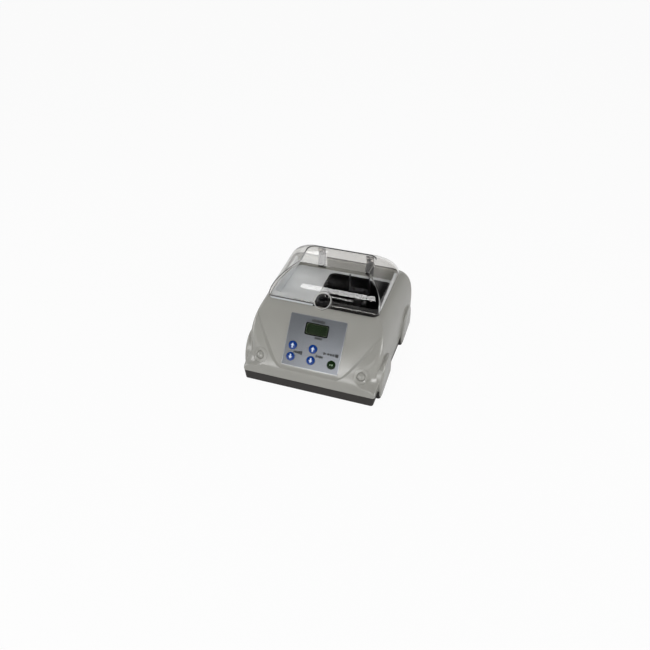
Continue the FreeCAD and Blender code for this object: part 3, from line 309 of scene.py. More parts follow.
SMOOTH_BELOW = math.radians(40)
CAP_BASE = Vector((80.564, -98.219, 43.155)) * MM
CAP_OUT = Vector((0.25627, -0.82906, 0.49699))
BEAD_RADIUS = 11.9 * MM
BEAD_HALF_WIDTH = 0.55 * MM
BEAD_HEIGHT = 0.5 * MM
BEAD_ROUNDING = 0.4 * MM
BEAD_SIDES = 72
BEAD_START = 20 * MM
bead_rings = (BEAD_RADIUS - BEAD_HALF_WIDTH, BEAD_RADIUS, BEAD_RADIUS + BEAD_HALF_WIDTH)
for side, name in ((1, "dish_bead_right"), (-1, "dish_bead_left")):
    out = Vector((side * CAP_OUT.x, CAP_OUT.y, CAP_OUT.z))
    base = Vector((side * CAP_BASE.x, CAP_BASE.y, CAP_BASE.z))
    bpy.ops.object.select_all(action="DESELECT")
    bpy.ops.mesh.primitive_circle_add(vertices=BEAD_SIDES, radius=bead_rings[0])
    bead = bpy.context.object
    bead.name = name
    bpy.ops.object.mode_set(mode="EDIT")
    bpy.ops.mesh.select_all(action="SELECT")
    for inner, outer in zip(bead_rings, bead_rings[1:]):
        bpy.ops.mesh.extrude_region_move()
        bpy.ops.transform.resize(value=(outer / inner, outer / inner, 1))
    bpy.ops.mesh.select_all(action="SELECT")
    bpy.ops.mesh.normals_make_consistent(inside=False)
    bpy.ops.object.mode_set(mode="OBJECT")
    facing_out = out.to_track_quat("Z", "Y").to_matrix().to_4x4()
    bead.matrix_world = Matrix.Translation(base + out * BEAD_START) @ facing_out
    press_on(bead, "casing")
    thicken(bead, 2 * BEAD_HEIGHT, 0.0)
    round_over = bead.modifiers.new("round_over", "BEVEL")
    round_over.width = BEAD_ROUNDING
    round_over.segments = 3
    bpy.ops.object.modifier_apply(modifier=round_over.name)
    bpy.ops.object.transform_apply(location=True, rotation=True, scale=True)
    bpy.ops.object.shade_smooth_by_angle(angle=SMOOTH_BELOW)
    bead.data.materials.append(pale_abs)
    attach(bead, "mixer_body")

# Deck plate and skirt. The plate lies on a ledge in the casing. A thin formed sheet lines
# the recess on three sides and lies on its rim under the lid, with a black strip in front
# of the well.

# Polished pale ABS: a shade whiter and cooler than the casing.
white_abs = moulded_skin(
    "polished_pale_abs", "#e6eaee", "#ebeff2", roughness=0.2, grain_mm=0.7, grain_depth_mm=0.012
)
finish_nodes(white_abs, "deck_plate")


def pick_vertices(piece, wanted):
    bpy.ops.mesh.select_all(action="DESELECT")
    bpy.ops.object.mode_set(mode="OBJECT")
    for vertex in piece.data.vertices:
        vertex.select = wanted(vertex.co)
    bpy.ops.object.mode_set(mode="EDIT")


deck_low, deck_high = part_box("deck_plate")
well_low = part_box("well_liner")[0]
SKIRT_GAP = 0.15 * MM
SKIRT_THICKNESS = 0.2 * MM
SKIRT_BACK = 82 * MM
SKIRT_CORNER = 8 * MM
RIM_FRONT = -41.5 * MM
RIM_SIDE = 87.0 * MM
STRIP_LEFT = well_low.x + 9 * MM
rim_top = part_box("casing")[1].z + SKIRT_GAP
skirt_bottom = deck_high.z + SKIRT_GAP
skirt_front = deck_low.y + SKIRT_GAP
skirt_side = deck_high.x - SKIRT_GAP
bpy.ops.object.select_all(action="DESELECT")
bpy.ops.mesh.primitive_plane_add(size=2)
skirt = bpy.context.object
skirt.name = "deck_skirt"
bpy.ops.object.mode_set(mode="EDIT")
bpy.ops.mesh.select_all(action="SELECT")
bpy.ops.transform.resize(value=(skirt_side, (SKIRT_BACK - skirt_front) / 2, 1))
bpy.ops.transform.translate(value=(0, (SKIRT_BACK + skirt_front) / 2, skirt_bottom))
pick_vertices(skirt, lambda spot: spot.y < 0)
bpy.ops.mesh.bevel(affect="VERTICES", offset=SKIRT_CORNER, segments=8)
# The plate's face and back edge go, and the open outline is drawn up and out over the rim.
bpy.ops.mesh.select_all(action="SELECT")
bpy.ops.mesh.delete(type="ONLY_FACE")
pick_vertices(skirt, lambda spot: spot.y > SKIRT_BACK - MM)
bpy.ops.mesh.delete(type="EDGE")
bpy.ops.mesh.select_all(action="SELECT")
bpy.ops.mesh.extrude_region_move(TRANSFORM_OT_translate={"value": (0, 0, rim_top - skirt_bottom)})
bpy.ops.mesh.extrude_region_move()
bpy.ops.transform.resize(
    value=(RIM_SIDE / skirt_side, (SKIRT_BACK - RIM_FRONT) / (SKIRT_BACK - skirt_front), 1),
    center_override=(0, SKIRT_BACK, rim_top),
)
# The flange in front of the well is cut off as a strip of its own.
bpy.ops.mesh.select_all(action="SELECT")
bpy.ops.mesh.bisect(plane_co=(STRIP_LEFT, 0, 0), plane_no=(1, 0, 0))
bpy.ops.mesh.select_all(action="SELECT")
bpy.ops.mesh.normals_make_consistent(inside=False)
bpy.ops.mesh.select_all(action="DESELECT")
bpy.ops.mesh.select_mode(type="FACE")
bpy.ops.object.mode_set(mode="OBJECT")
for face in skirt.data.polygons:
    on_rim = abs(face.normal.z) > 0.5
    face.select = on_rim and face.center.y < skirt_front and face.center.x > STRIP_LEFT
bpy.ops.object.mode_set(mode="EDIT")
bpy.ops.mesh.separate(type="SELECTED")
bpy.ops.mesh.select_mode(type="VERT")
bpy.ops.object.mode_set(mode="OBJECT")
strip = [piece for piece in bpy.context.selected_objects if piece != skirt][0]
strip.name = "well_front_strip"
for piece in (skirt, strip):
    bpy.context.view_layer.objects.active = piece
    thicken(piece, SKIRT_THICKNESS, 0.0)
    bpy.ops.object.shade_smooth_by_angle(angle=SMOOTH_BELOW)
    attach(piece, "mixer_body")
skirt.data.materials.append(white_abs)

# Mains side at the back: panel, inlet, fuse holder and switch, with the other small
# housings inside. Each is injection moulded and clips or screws into its place.

# Moulded nylon: black and satin.
black_nylon = moulded_skin(
    "moulded_black_nylon", "#17171a", "#222226", roughness=0.4, grain_mm=0.8, grain_depth_mm=0.03
)
finish_nodes(
    black_nylon, "back_panel", "mains_inlet", "fuse_holder", "fuse_cap", "switch_frame", "power_rocker",
    "board_parts", "key_switches", "interlock_switch", "interlock_plunger",
)

# Boards. Glass-fibre laminate, etched and then lacquered green, screwed to posts behind
# the keypad and on the base.

# Lacquered laminate: glossy green, with the copper showing through as lighter tracks.
TRACK_PITCH = 12 * MM
board_finish, board_tree = new_finish("green_lacquered_laminate")
board_place = add_node(board_tree, "ShaderNodeTexCoord").outputs["Object"]
tracks = add_node(
    board_tree,
    "ShaderNodeTexBrick",
    {
        "Scale": 1 / TRACK_PITCH,
        "Mortar Size": 0.03,
        "Color1": to_linear("#0f4a25"),
        "Color2": to_linear("#125229"),
        "Mortar": to_linear("#2b7a3f"),
    },
    {"Vector": board_place},
).outputs["Color"]
board_shader = add_node(
    board_tree, "ShaderNodeBsdfPrincipled", {"Roughness": 0.28, "IOR": 1.55}, {"Base Color": tracks}
)
add_node(board_tree, "ShaderNodeOutputMaterial", {}, {"Surface": board_shader.outputs["BSDF"]})
finish_nodes(board_finish, "control_board", "power_board")

# Well liner and the strip in front of it. A deep tub, vacuum formed and dropped into the
# deck, so that its flange hides the edge of the opening.

# Glossy black sheet: nearly black, with soft wide reflections.
black_tub = moulded_skin(
    "glossy_black_liner", "#08080a", "#0d0d10", roughness=0.22, grain_mm=1.4, grain_depth_mm=0.02
)
finish_nodes(black_tub, "well_liner")
strip.data.materials.append(black_tub)

# Mixing arm and capsule clip. The arm is a small casting under stoved paint. The clip on it
# has two prongs of spring steel strip, punched and bent, held by two screws.

# Stoved paint: black, pooled in the corners and rounded over the edges.
black_paint = moulded_skin(
    "black_stoved_paint", "#0c0c0e", "#131316",
    roughness=0.32, grain_mm=1.1, grain_depth_mm=0.05, edge_mm=0.5, edge_wear_and_highlight_colour="#2a2a2d",
)
finish_nodes(black_paint, "mixing_arm")
# Blued spring steel: dark, with rolling lines along the strip.
spring_steel = worked_metal(
    "blued_spring_steel", "#55565b", "#47484d", roughness=0.3, line_mm=0.6, line_depth_mm=0.015
)
finish_nodes(spring_steel, "capsule_clip")
# Black passivated steel: the darker, duller plating of small screws.
dark_zinc = worked_metal(
    "black_passivated_steel", "#4a4a4c", "#3c3c3e", roughness=0.36, line_mm=0.6, line_depth_mm=0.02
)
finish_nodes(dark_zinc, "clip_screws", "hinge_arm_screws")

# Keypad film. A printed polyester sheet glued on the shield, with a thin pale line just
# inside its edge and plain marks in dark ink.

# Silver printed film: half metallic, with fine flakes and a satin gloss.
# The keys press straight into the film, so a key's joint gives its tilt.
panel_low, panel_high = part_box("panel_overlay")
panel_centre = (panel_low + panel_high) / 2
press_joint = [joint for joint in frame["joints"] if joint["name"] == "key_start_stop_press"][0]
panel_out = -Vector(press_joint["axis"]).normalized()
panel_right = Vector((1, 0, 0))
panel_up = panel_out.cross(panel_right)
panel_tilt = math.atan2(panel_up.z, panel_up.y)
panel_place = Matrix((panel_right, panel_up, panel_out)).transposed().to_4x4()
panel_place.translation = panel_centre
PANEL_HALF_WIDTH = (panel_high.x - panel_low.x) / 2
PANEL_HALF_HEIGHT = 40.3 * MM
PANEL_FACE = 0.5 * MM
FLAKE = 1.1 * MM
BORDER_FROM = -0.9 * MM
BORDER_FULL = -0.6 * MM

film, film_tree = new_finish("silver_printed_film")
film_coords = add_node(film_tree, "ShaderNodeTexCoord").outputs["Object"]
film_place = add_node(
    film_tree,
    "ShaderNodeMapping",
    {"vector_type": "TEXTURE", "Location": panel_centre, "Rotation": (panel_tilt, 0, 0)},
    {"Vector": film_coords},
).outputs["Vector"]
film_axes = add_node(film_tree, "ShaderNodeSeparateXYZ", {}, {"Vector": film_place}).outputs
past_edges = []
for axis, half_size in (("X", PANEL_HALF_WIDTH), ("Y", PANEL_HALF_HEIGHT)):
    from_centre = add_node(
        film_tree, "ShaderNodeMath", {"operation": "ABSOLUTE"}, {0: film_axes[axis]}
    ).outputs["Value"]
    past_edge = add_node(
        film_tree, "ShaderNodeMath", {"operation": "SUBTRACT", 1: half_size}, {0: from_centre}
    ).outputs["Value"]
    past_edges.append(past_edge)
nearest_edge = add_node(
    film_tree, "ShaderNodeMath", {"operation": "MAXIMUM"}, {0: past_edges[0], 1: past_edges[1]}
).outputs["Value"]
border = add_node(
    film_tree,
    "ShaderNodeMapRange",
    {"From Min": BORDER_FROM, "From Max": BORDER_FULL},
    {"Value": nearest_edge},
).outputs["Result"]
film_flakes = add_node(
    film_tree, "ShaderNodeTexNoise", {"Scale": 1 / FLAKE, "Detail": 2.0}, {"Vector": film_place}
).outputs["Fac"]
film_tint = add_node(
    film_tree,
    "ShaderNodeMix",
    {"data_type": "RGBA", 6: to_linear("#6b6e73"), 7: to_linear("#787b80")},
    {0: film_flakes},
).outputs[2]
film_colour = add_node(
    film_tree, "ShaderNodeMix", {"data_type": "RGBA", 7: to_linear("#a9abae")}, {0: border, 6: film_tint}
).outputs[2]
film_gloss = add_node(
    film_tree, "ShaderNodeMapRange", {"To Min": 0.18, "To Max": 0.3}, {"Value": film_flakes}
).outputs["Result"]
film_shader = add_node(
    film_tree,
    "ShaderNodeBsdfPrincipled",
    {"Metallic": 0.5},
    {"Base Color": film_colour, "Roughness": film_gloss},
)
add_node(film_tree, "ShaderNodeOutputMaterial", {}, {"Surface": film_shader.outputs["BSDF"]})
finish_nodes(film, "panel_overlay")


def flat_mark(name, shapes, thickness, cuts):
    # Each shape is (sides, across, along, half width, half height, turn) in millimetres and degrees.
    bpy.ops.object.select_all(action="DESELECT")
    bpy.ops.mesh.primitive_circle_add(vertices=4, radius=MM)
    mark = bpy.context.object
    mark.name = name
    bpy.ops.object.mode_set(mode="EDIT")
    bpy.ops.mesh.delete(type="VERT")
    for sides, across, along, half_width, half_height, turn in shapes:
        bpy.ops.mesh.select_all(action="DESELECT")
        centre = (across * MM, along * MM, 0)
        bpy.ops.mesh.primitive_circle_add(
            vertices=sides,
            radius=MM,
            fill_type="TRIFAN",
            location=centre,
            rotation=(0, 0, math.radians(turn)),
        )
        bpy.ops.transform.resize(value=(half_width, half_height, 1), center_override=centre)
        if cuts:
            bpy.ops.mesh.subdivide(number_cuts=cuts)
    bpy.ops.mesh.select_all(action="SELECT")
    if thickness:
        bpy.ops.mesh.extrude_region_move(TRANSFORM_OT_translate={"value": (0, 0, thickness)})
        bpy.ops.mesh.select_all(action="SELECT")
    bpy.ops.mesh.normals_make_consistent(inside=False)
    bpy.ops.object.mode_set(mode="OBJECT")
    return mark


def put_at(mark, place):
    mark.matrix_world = place
    bpy.ops.object.select_all(action="DESELECT")
    mark.select_set(True)
    bpy.context.view_layer.objects.active = mark


def bar(across, along, half_width, half_height):
    # A four-sided circle turned by 45 degrees has its corners at the root of a half.
    return (4, across, along, half_width * math.sqrt(2), half_height * math.sqrt(2), 45)


def bar_row(first, along, pitch, half_width, half_heights):
    return [bar(first + pitch * step, along, half_width, height) for step, height in enumerate(half_heights)]


# Rising bars stand beside the speed keys and even ones beside the time keys. A triangle, dots and a
# square stand above the start key, and two rows of bars above and below the display.
INK_THICKNESS = 0.06 * MM
START_ROW = -11.7
START_DOT = 1.8
ink_shapes = bar_row(
    first=-27.9, along=-18.1, pitch=2.8, half_width=1.25, half_heights=(1.3, 1.65, 2.0, 2.35, 2.7)
)
ink_shapes += bar_row(first=7.4, along=-18.2, pitch=3.0, half_width=1.3, half_heights=(2.2, 1.5, 2.2, 1.5))
ink_shapes.append((3, 18.9, START_ROW, 3.4, 3.2, -90))
for across in (25.0, 29.0, 33.0):
    ink_shapes.append((32, across, START_ROW, START_DOT, START_DOT, 0))
ink_shapes.append(bar(38.4, START_ROW, half_width=2.5, half_height=2.5))
ink_shapes += bar_row(
    first=-9.0, along=33.6, pitch=3.0, half_width=1.35, half_heights=(1.6, 2.1, 1.6, 2.1, 1.6, 2.1, 1.6)
)
ink_shapes += bar_row(first=0.3, along=8.4, pitch=3.0, half_width=1.35, half_heights=(1.6, 1.6, 1.6, 1.6))
panel_print = flat_mark("panel_print", ink_shapes, INK_THICKNESS, cuts=0)
put_at(panel_print, panel_place @ Matrix.Translation((0, 0, PANEL_FACE)))
bpy.ops.object.transform_apply(location=True, rotation=True, scale=True)
# Screen printed ink: dark, matt and slightly uneven.
dark_ink = moulded_skin(
    "screen_printed_dark_ink", "#0b0c0e", "#121417", roughness=0.55, grain_mm=0.6, grain_depth_mm=0.01
)
panel_print.data.materials.append(dark_ink)
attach(panel_print, "mixer_body")

# Display. A liquid crystal module behind a window of tinted acrylic, which sits in the
# film. The window's edge is printed dark from behind, with round corners.

# Liquid crystal: a flat grey-green.
crystal = moulded_skin(
    "liquid_crystal_module", "#232f1e", "#293522", roughness=0.35, grain_mm=1.5, grain_depth_mm=0.01
)
finish_nodes(crystal, "lcd_module")
# Tinted acrylic: clear and greenish, with a handling haze that comes and goes.
WINDOW_REACH = Vector((14.2 * MM, 5.2 * MM, 1.0))
WINDOW_ROUND = 2.5 * MM
WINDOW_CLOUD = 20 * MM
WINDOW_TINT = "#a9bd9c"
ACRYLIC_IOR = 1.49
window_finish, window_tree = new_finish("tinted_display_acrylic")
window_low, window_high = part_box("lcd_window")
window_place = add_node(window_tree, "ShaderNodeTexCoord").outputs["Object"]
window_flat = add_node(
    window_tree,
    "ShaderNodeMapping",
    {"vector_type": "TEXTURE", "Location": (window_low + window_high) / 2, "Rotation": (panel_tilt, 0, 0)},
    {"Vector": window_place},
).outputs["Vector"]
window_out = add_node(
    window_tree, "ShaderNodeVectorMath", {"operation": "ABSOLUTE"}, {0: window_flat}
).outputs["Vector"]
window_past = add_node(
    window_tree, "ShaderNodeVectorMath", {"operation": "SUBTRACT", 1: WINDOW_REACH}, {0: window_out}
).outputs["Vector"]
window_corner = add_node(
    window_tree, "ShaderNodeVectorMath", {"operation": "MAXIMUM", 1: (0, 0, 0)}, {0: window_past}
).outputs["Vector"]
window_away = add_node(
    window_tree, "ShaderNodeVectorMath", {"operation": "LENGTH"}, {0: window_corner}
).outputs["Value"]
window_border = add_node(
    window_tree, "ShaderNodeMath", {"operation": "GREATER_THAN", 1: WINDOW_ROUND}, {0: window_away}
).outputs["Value"]
window_clouds = add_node(
    window_tree, "ShaderNodeTexNoise", {"Scale": 1 / WINDOW_CLOUD}, {"Vector": window_place}
).outputs["Fac"]
window_gloss = add_node(
    window_tree, "ShaderNodeMapRange", {"To Min": 0.06, "To Max": 0.16}, {"Value": window_clouds}
).outputs["Result"]
window_glass = add_node(
    window_tree,
    "ShaderNodeBsdfPrincipled",
    {"Base Color": to_linear(WINDOW_TINT), "Transmission Weight": 1.0, "IOR": ACRYLIC_IOR},
    {"Roughness": window_gloss},
)
window_print = add_node(
    window_tree,
    "ShaderNodeBsdfPrincipled",
    {"Base Color": to_linear("#0d0f0c")},
    {"Roughness": window_gloss},
)
window_face = add_node(
    window_tree,
    "ShaderNodeMixShader",
    {},
    {0: window_border, 1: window_glass.outputs["BSDF"], 2: window_print.outputs["BSDF"]},
)
# Light that falls through keeps its way, so the module behind is lit.
window_clear = add_node(window_tree, "ShaderNodeBsdfTransparent", {"Color": to_linear(WINDOW_TINT)})
window_rays = add_node(window_tree, "ShaderNodeLightPath").outputs["Is Shadow Ray"]
window_mix = add_node(
    window_tree,
    "ShaderNodeMixShader",
    {},
    {0: window_rays, 1: window_face.outputs["Shader"], 2: window_clear.outputs["BSDF"]},
)
add_node(window_tree, "ShaderNodeOutputMaterial", {}, {"Surface": window_mix.outputs["Shader"]})
finish_nodes(window_finish, "lcd_window")

# Keys. Five domed caps, four blue and one dark green, moulded in polycarbonate and held
# behind the film by a flange. Each has a pale printed mark on its crown.

# Glossy polycarbonate: deep colour, small lights, and a paler line round the edge.
blue_cap = moulded_skin(
    "glossy_blue_polycarbonate", "#07327c", "#0a3b8b",
    roughness=0.2, grain_mm=1.0, grain_depth_mm=0.01, edge_mm=0.5, edge_wear_and_highlight_colour="#3f7cc4", shine=0.2,
)
green_cap = moulded_skin(
    "glossy_green_polycarbonate", "#0c1f08", "#11280c",
    roughness=0.24, grain_mm=1.0, grain_depth_mm=0.01, edge_mm=0.5, edge_wear_and_highlight_colour="#2c4726", shine=0.1,
)
# Printed inks: pale, a little duller than the caps.
pale_ink = moulded_skin(
    "printed_pale_blue_ink", "#d3e2f6", "#dfeafa", roughness=0.4, grain_mm=0.6, grain_depth_mm=0.01
)
pale_green_ink = moulded_skin(
    "printed_pale_green_ink", "#7f9a78", "#8aa583", roughness=0.4, grain_mm=0.6, grain_depth_mm=0.01
)
BLUE_KEYS = ("key_speed_up", "key_time_up", "key_speed_down", "key_time_down")
GREEN_KEY = "key_start_stop"
finish_nodes(blue_cap, *BLUE_KEYS)
finish_nodes(green_cap, GREEN_KEY)


def print_on(mark, node, place):
    # The mark is laid on the node along the print's own Z, and gets the ink's thickness.
    put_at(mark, place)
    press_on(mark, node)
    thicken(mark, INK_THICKNESS, 1.0)
    bpy.ops.object.transform_apply(location=True, rotation=True, scale=True)


PRINT_START = 12 * MM
UP_ARROW = [(3, 0, 1.0, 3.4, 2.6, 0), bar(0, -2.0, half_width=1.1, half_height=1.8)]
DOWN_ARROW = [(3, 0, -1.0, 3.4, 2.6, 180), bar(0, 2.0, half_width=1.1, half_height=1.8)]
START_MARK = [(3, -1.4, 0, 1.5, 1.5, -90), bar(1.7, 0, half_width=1.0, half_height=1.2)]
for node in (*BLUE_KEYS, GREEN_KEY):
    shapes = UP_ARROW if node.endswith("up") else DOWN_ARROW if node.endswith("down") else START_MARK
    key_low, key_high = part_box(node)
    key_place = panel_place.copy()
    key_place.translation = (key_low + key_high) / 2 + panel_out * PRINT_START
    key_print = flat_mark(node + "_print", shapes, thickness=0, cuts=5)
    print_on(key_print, node, key_place)
    key_print.data.materials.append(pale_green_ink if node == GREEN_KEY else pale_ink)
    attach(key_print, node + "_body")

# Mark on the mains rocker. The usual bar and ring for on and off, pad printed on the
# black rocker at the back.

# Pad printed ink: white, thin and slightly dull.
white_ink = moulded_skin(
    "pad_printed_white_ink", "#d9d9d6", "#e2e2df", roughness=0.45, grain_mm=0.6, grain_depth_mm=0.01
)
ROCKER_MARK_RISE = 5.2
RING_RADIUS = 1.6
RING_LINE = 0.42
RING_STEPS = 16
rocker_shapes = [bar(0, ROCKER_MARK_RISE, half_width=0.4, half_height=1.5)]
for step in range(RING_STEPS):
    turn = 360 / RING_STEPS * step
    across = RING_RADIUS * math.cos(math.radians(turn))
    along = RING_RADIUS * math.sin(math.radians(turn)) - ROCKER_MARK_RISE
    rocker_shapes.append((12, across, along, RING_LINE, RING_LINE, turn))
rocker_low, rocker_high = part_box("power_rocker")
rocker_place = Matrix(((-1, 0, 0), (0, 0, 1), (0, 1, 0))).to_4x4()
rocker_place.translation = (rocker_low + rocker_high) / 2 + Vector((0, PRINT_START, 0))
rocker_print = flat_mark("power_rocker_print", rocker_shapes, thickness=0, cuts=1)
print_on(rocker_print, "power_rocker", rocker_place)
rocker_print.data.materials.append(white_ink)
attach(rocker_print, "power_rocker_body")

# Lid. Vacuum formed from clear acrylic sheet and sawn off at its edge, with a round thumb
# tab low on its front.

# Clear acrylic: sharp lamp reflections that waver with the formed sheet, a grey cast through
# two walls, painted shade as two dark lines along the sawn edge and the fold above it, and a painted
# highlight as a pale rim round the tab.
LID_WAVE = 30 * MM
LID_WAVE_DEPTH = 0.18 * MM
LIP_HEIGHT = 4.0 * MM
LINE_RISE = 0.3 * MM
LINE_HALF_WIDTH = 0.55 * MM
KNOB_BALL = 9.02 * MM
TAB_TILT = math.radians(39)
TAB_RING_RADIUS = 13.1 * MM
TAB_RING_HALF_WIDTH = 0.7 * MM
# The knob's dome is part of a ball, and the tab's axis passes through the ball's middle.
knob_low, knob_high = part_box("lid_knob")
knob_middle = Vector((0, knob_low.y + KNOB_BALL, knob_high.z - KNOB_BALL))
lip_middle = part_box("lid")[0].z + LINE_RISE + LIP_HEIGHT / 2
lid_finish, lid_tree = new_finish("clear_formed_acrylic")
lid_place = add_node(lid_tree, "ShaderNodeTexCoord").outputs["Object"]
lid_clouds = add_node(
    lid_tree, "ShaderNodeTexNoise", {"Scale": 1 / LID_WAVE, "Detail": 4.0}, {"Vector": lid_place}
).outputs["Fac"]
lid_gloss = add_node(
    lid_tree, "ShaderNodeMapRange", {"To Min": 0.0, "To Max": 0.06}, {"Value": lid_clouds}
).outputs["Result"]
lid_waves = add_node(
    lid_tree, "ShaderNodeBump", {"Strength": 0.5, "Distance": LID_WAVE_DEPTH}, {"Height": lid_clouds}
).outputs["Normal"]
lid_height = add_node(lid_tree, "ShaderNodeSeparateXYZ", {}, {"Vector": lid_place}).outputs["Z"]
above_middle = add_node(
    lid_tree, "ShaderNodeMath", {"operation": "SUBTRACT", 1: lip_middle}, {0: lid_height}
).outputs["Value"]
off_middle = add_node(
    lid_tree, "ShaderNodeMath", {"operation": "ABSOLUTE"}, {0: above_middle}
).outputs["Value"]
# Painted shade: two dark lines, at the sawn edge and at the fold above it.
lip_painted_shade_lines = add_node(
    lid_tree,
    "ShaderNodeMath",
    {"operation": "COMPARE", 1: LIP_HEIGHT / 2, 2: LINE_HALF_WIDTH},
    {0: off_middle},
).outputs["Value"]
lid_tint = add_node(
    lid_tree,
    "ShaderNodeMix",
    {"data_type": "RGBA", 6: to_linear("#e3e2e0"), 7: to_linear("#383533")},
    {0: lip_painted_shade_lines},
).outputs[2]
tab_place = add_node(
    lid_tree,
    "ShaderNodeMapping",
    {"vector_type": "TEXTURE", "Location": knob_middle, "Rotation": (TAB_TILT, 0, 0)},
    {"Vector": lid_place},
).outputs["Vector"]
tab_flat = add_node(
    lid_tree, "ShaderNodeVectorMath", {"operation": "MULTIPLY", 1: (1, 1, 0)}, {0: tab_place}
).outputs["Vector"]
tab_reach = add_node(
    lid_tree, "ShaderNodeVectorMath", {"operation": "LENGTH"}, {0: tab_flat}
).outputs["Value"]
# Painted highlight: a pale, less clear ring round the thumb tab where its rim catches the light.
tab_painted_highlight_ring = add_node(
    lid_tree,
    "ShaderNodeMath",
    {"operation": "COMPARE", 1: TAB_RING_RADIUS, 2: TAB_RING_HALF_WIDTH},
    {0: tab_reach},
).outputs["Value"]
lid_colour = add_node(
    lid_tree, "ShaderNodeMix", {"data_type": "RGBA", 7: to_linear("#f4f4f2")}, {0: tab_painted_highlight_ring, 6: lid_tint}
).outputs[2]
lid_clearness = add_node(
    lid_tree, "ShaderNodeMapRange", {"To Min": 1.0, "To Max": 0.5}, {"Value": tab_painted_highlight_ring}
).outputs["Result"]
lid_glass = add_node(
    lid_tree,
    "ShaderNodeBsdfPrincipled",
    {"Specular Tint": to_linear("#ababab"), "IOR": ACRYLIC_IOR},
    {
        "Base Color": lid_colour,
        "Transmission Weight": lid_clearness,
        "Roughness": lid_gloss,
        "Normal": lid_waves,
    },
)
# Light that falls through keeps its way, so the deck below is lit.
lid_clear = add_node(lid_tree, "ShaderNodeBsdfTransparent", {"Color": to_linear("#f0efee")})
lid_rays = add_node(lid_tree, "ShaderNodeLightPath").outputs["Is Shadow Ray"]
lid_mix = add_node(
    lid_tree,
    "ShaderNodeMixShader",
    {},
    {0: lid_rays, 1: lid_glass.outputs["BSDF"], 2: lid_clear.outputs["BSDF"]},
)
add_node(lid_tree, "ShaderNodeOutputMaterial", {}, {"Surface": lid_mix.outputs["Shader"]})
finish_nodes(lid_finish, "lid")

# Hinge arms. Bent from smoked acrylic strip, screwed and cemented on the lid's back wall,
# each with a barrel on its hinge pin.

# Cemented acrylic: dark brown low down, which is painted shade where the arms drop toward the hinge slots,
# and above it dark blotches of set cement with clear gaps between.
ARM_SHADE_FULL_AT = 116 * MM
ARM_SHADE_FROM = 120 * MM
CEMENT_BLOTCH = 5.5 * MM
arm_finish, arm_tree = new_finish("cemented_smoked_acrylic")
arm_place = add_node(arm_tree, "ShaderNodeTexCoord").outputs["Object"]
arm_height = add_node(arm_tree, "ShaderNodeSeparateXYZ", {}, {"Vector": arm_place}).outputs["Z"]
# Painted shade: the arms turn dark and less clear below this height.
arm_painted_shade_low = add_node(
    arm_tree,
    "ShaderNodeMapRange",
    {"From Min": ARM_SHADE_FROM, "From Max": ARM_SHADE_FULL_AT},
    {"Value": arm_height},
).outputs["Result"]
arm_cement = add_node(
    arm_tree, "ShaderNodeTexNoise", {"Scale": 1 / CEMENT_BLOTCH, "Detail": 2.0}, {"Vector": arm_place}
).outputs["Fac"]
arm_blotch = add_node(
    arm_tree, "ShaderNodeMapRange", {"From Min": 0.47, "From Max": 0.55}, {"Value": arm_cement}
).outputs["Result"]
arm_cement_and_painted_shade = add_node(
    arm_tree, "ShaderNodeMath", {"operation": "MAXIMUM"}, {0: arm_painted_shade_low, 1: arm_blotch}
).outputs["Value"]
arm_tint = add_node(
    arm_tree,
    "ShaderNodeMix",
    {"data_type": "RGBA", 6: to_linear("#ece7e3"), 7: to_linear("#1a100b")},
    {0: arm_cement_and_painted_shade},
).outputs[2]
arm_gloss = add_node(
    arm_tree, "ShaderNodeMapRange", {"To Min": 0.03, "To Max": 0.3}, {"Value": arm_cement_and_painted_shade}
).outputs["Result"]
arm_clear = add_node(
    arm_tree, "ShaderNodeMapRange", {"To Min": 1.0, "To Max": 0.1}, {"Value": arm_cement_and_painted_shade}
).outputs["Result"]
arm_shader = add_node(
    arm_tree,
    "ShaderNodeBsdfPrincipled",
    {"IOR": ACRYLIC_IOR, "Specular IOR Level": 0.2},
    {"Base Color": arm_tint, "Roughness": arm_gloss, "Transmission Weight": arm_clear},
)
add_node(arm_tree, "ShaderNodeOutputMaterial", {}, {"Surface": arm_shader.outputs["BSDF"]})
finish_nodes(arm_finish, "hinge_arm_left", "hinge_arm_right")

# Thumb knob. Turned from cast acrylic with a low dome, and set in the tab by its stem.

# Polished black acrylic: nearly black, with small sharp lights.
black_acrylic = moulded_skin(
    "polished_black_acrylic", "#060607", "#0a0a0b",
    roughness=0.09, grain_mm=1.4, grain_depth_mm=0.01, edge_mm=0.5, edge_wear_and_highlight_colour="#1c1c1e", shine=0.12,
)
finish_nodes(black_acrylic, "lid_knob")

# Studio floor. A wide sheet of white paper that keeps a soft shadow under the mixer. It
# glows a little for the camera and for what is seen through the lid, so that it stays
# white, and less where the casing mirrors it.
FLOOR_SIZE = 30
GLOW_SEEN = 0.95
GLOW_MIRRORED = 0.3
bpy.ops.object.select_all(action="DESELECT")
bpy.ops.mesh.primitive_plane_add(size=FLOOR_SIZE)
floor = bpy.context.object
floor.name = "studio_floor"
paper, paper_tree = new_finish("white_studio_paper")
paper_rays = add_node(paper_tree, "ShaderNodeLightPath").outputs
paper_seen = add_node(
    paper_tree,
    "ShaderNodeMath",
    {"operation": "MAXIMUM"},
    {0: paper_rays["Is Camera Ray"], 1: paper_rays["Is Transmission Ray"]},
).outputs["Value"]
paper_bright = add_node(
    paper_tree, "ShaderNodeMath", {"operation": "MULTIPLY", 1: GLOW_SEEN}, {0: paper_seen}
).outputs["Value"]
paper_mirrored = add_node(
    paper_tree,
    "ShaderNodeMath",
    {"operation": "MULTIPLY", 1: GLOW_MIRRORED},
    {0: paper_rays["Is Glossy Ray"]},
).outputs["Value"]
paper_shown = add_node(
    paper_tree, "ShaderNodeMath", {"operation": "MAXIMUM"}, {0: paper_bright, 1: paper_mirrored}
).outputs["Value"]
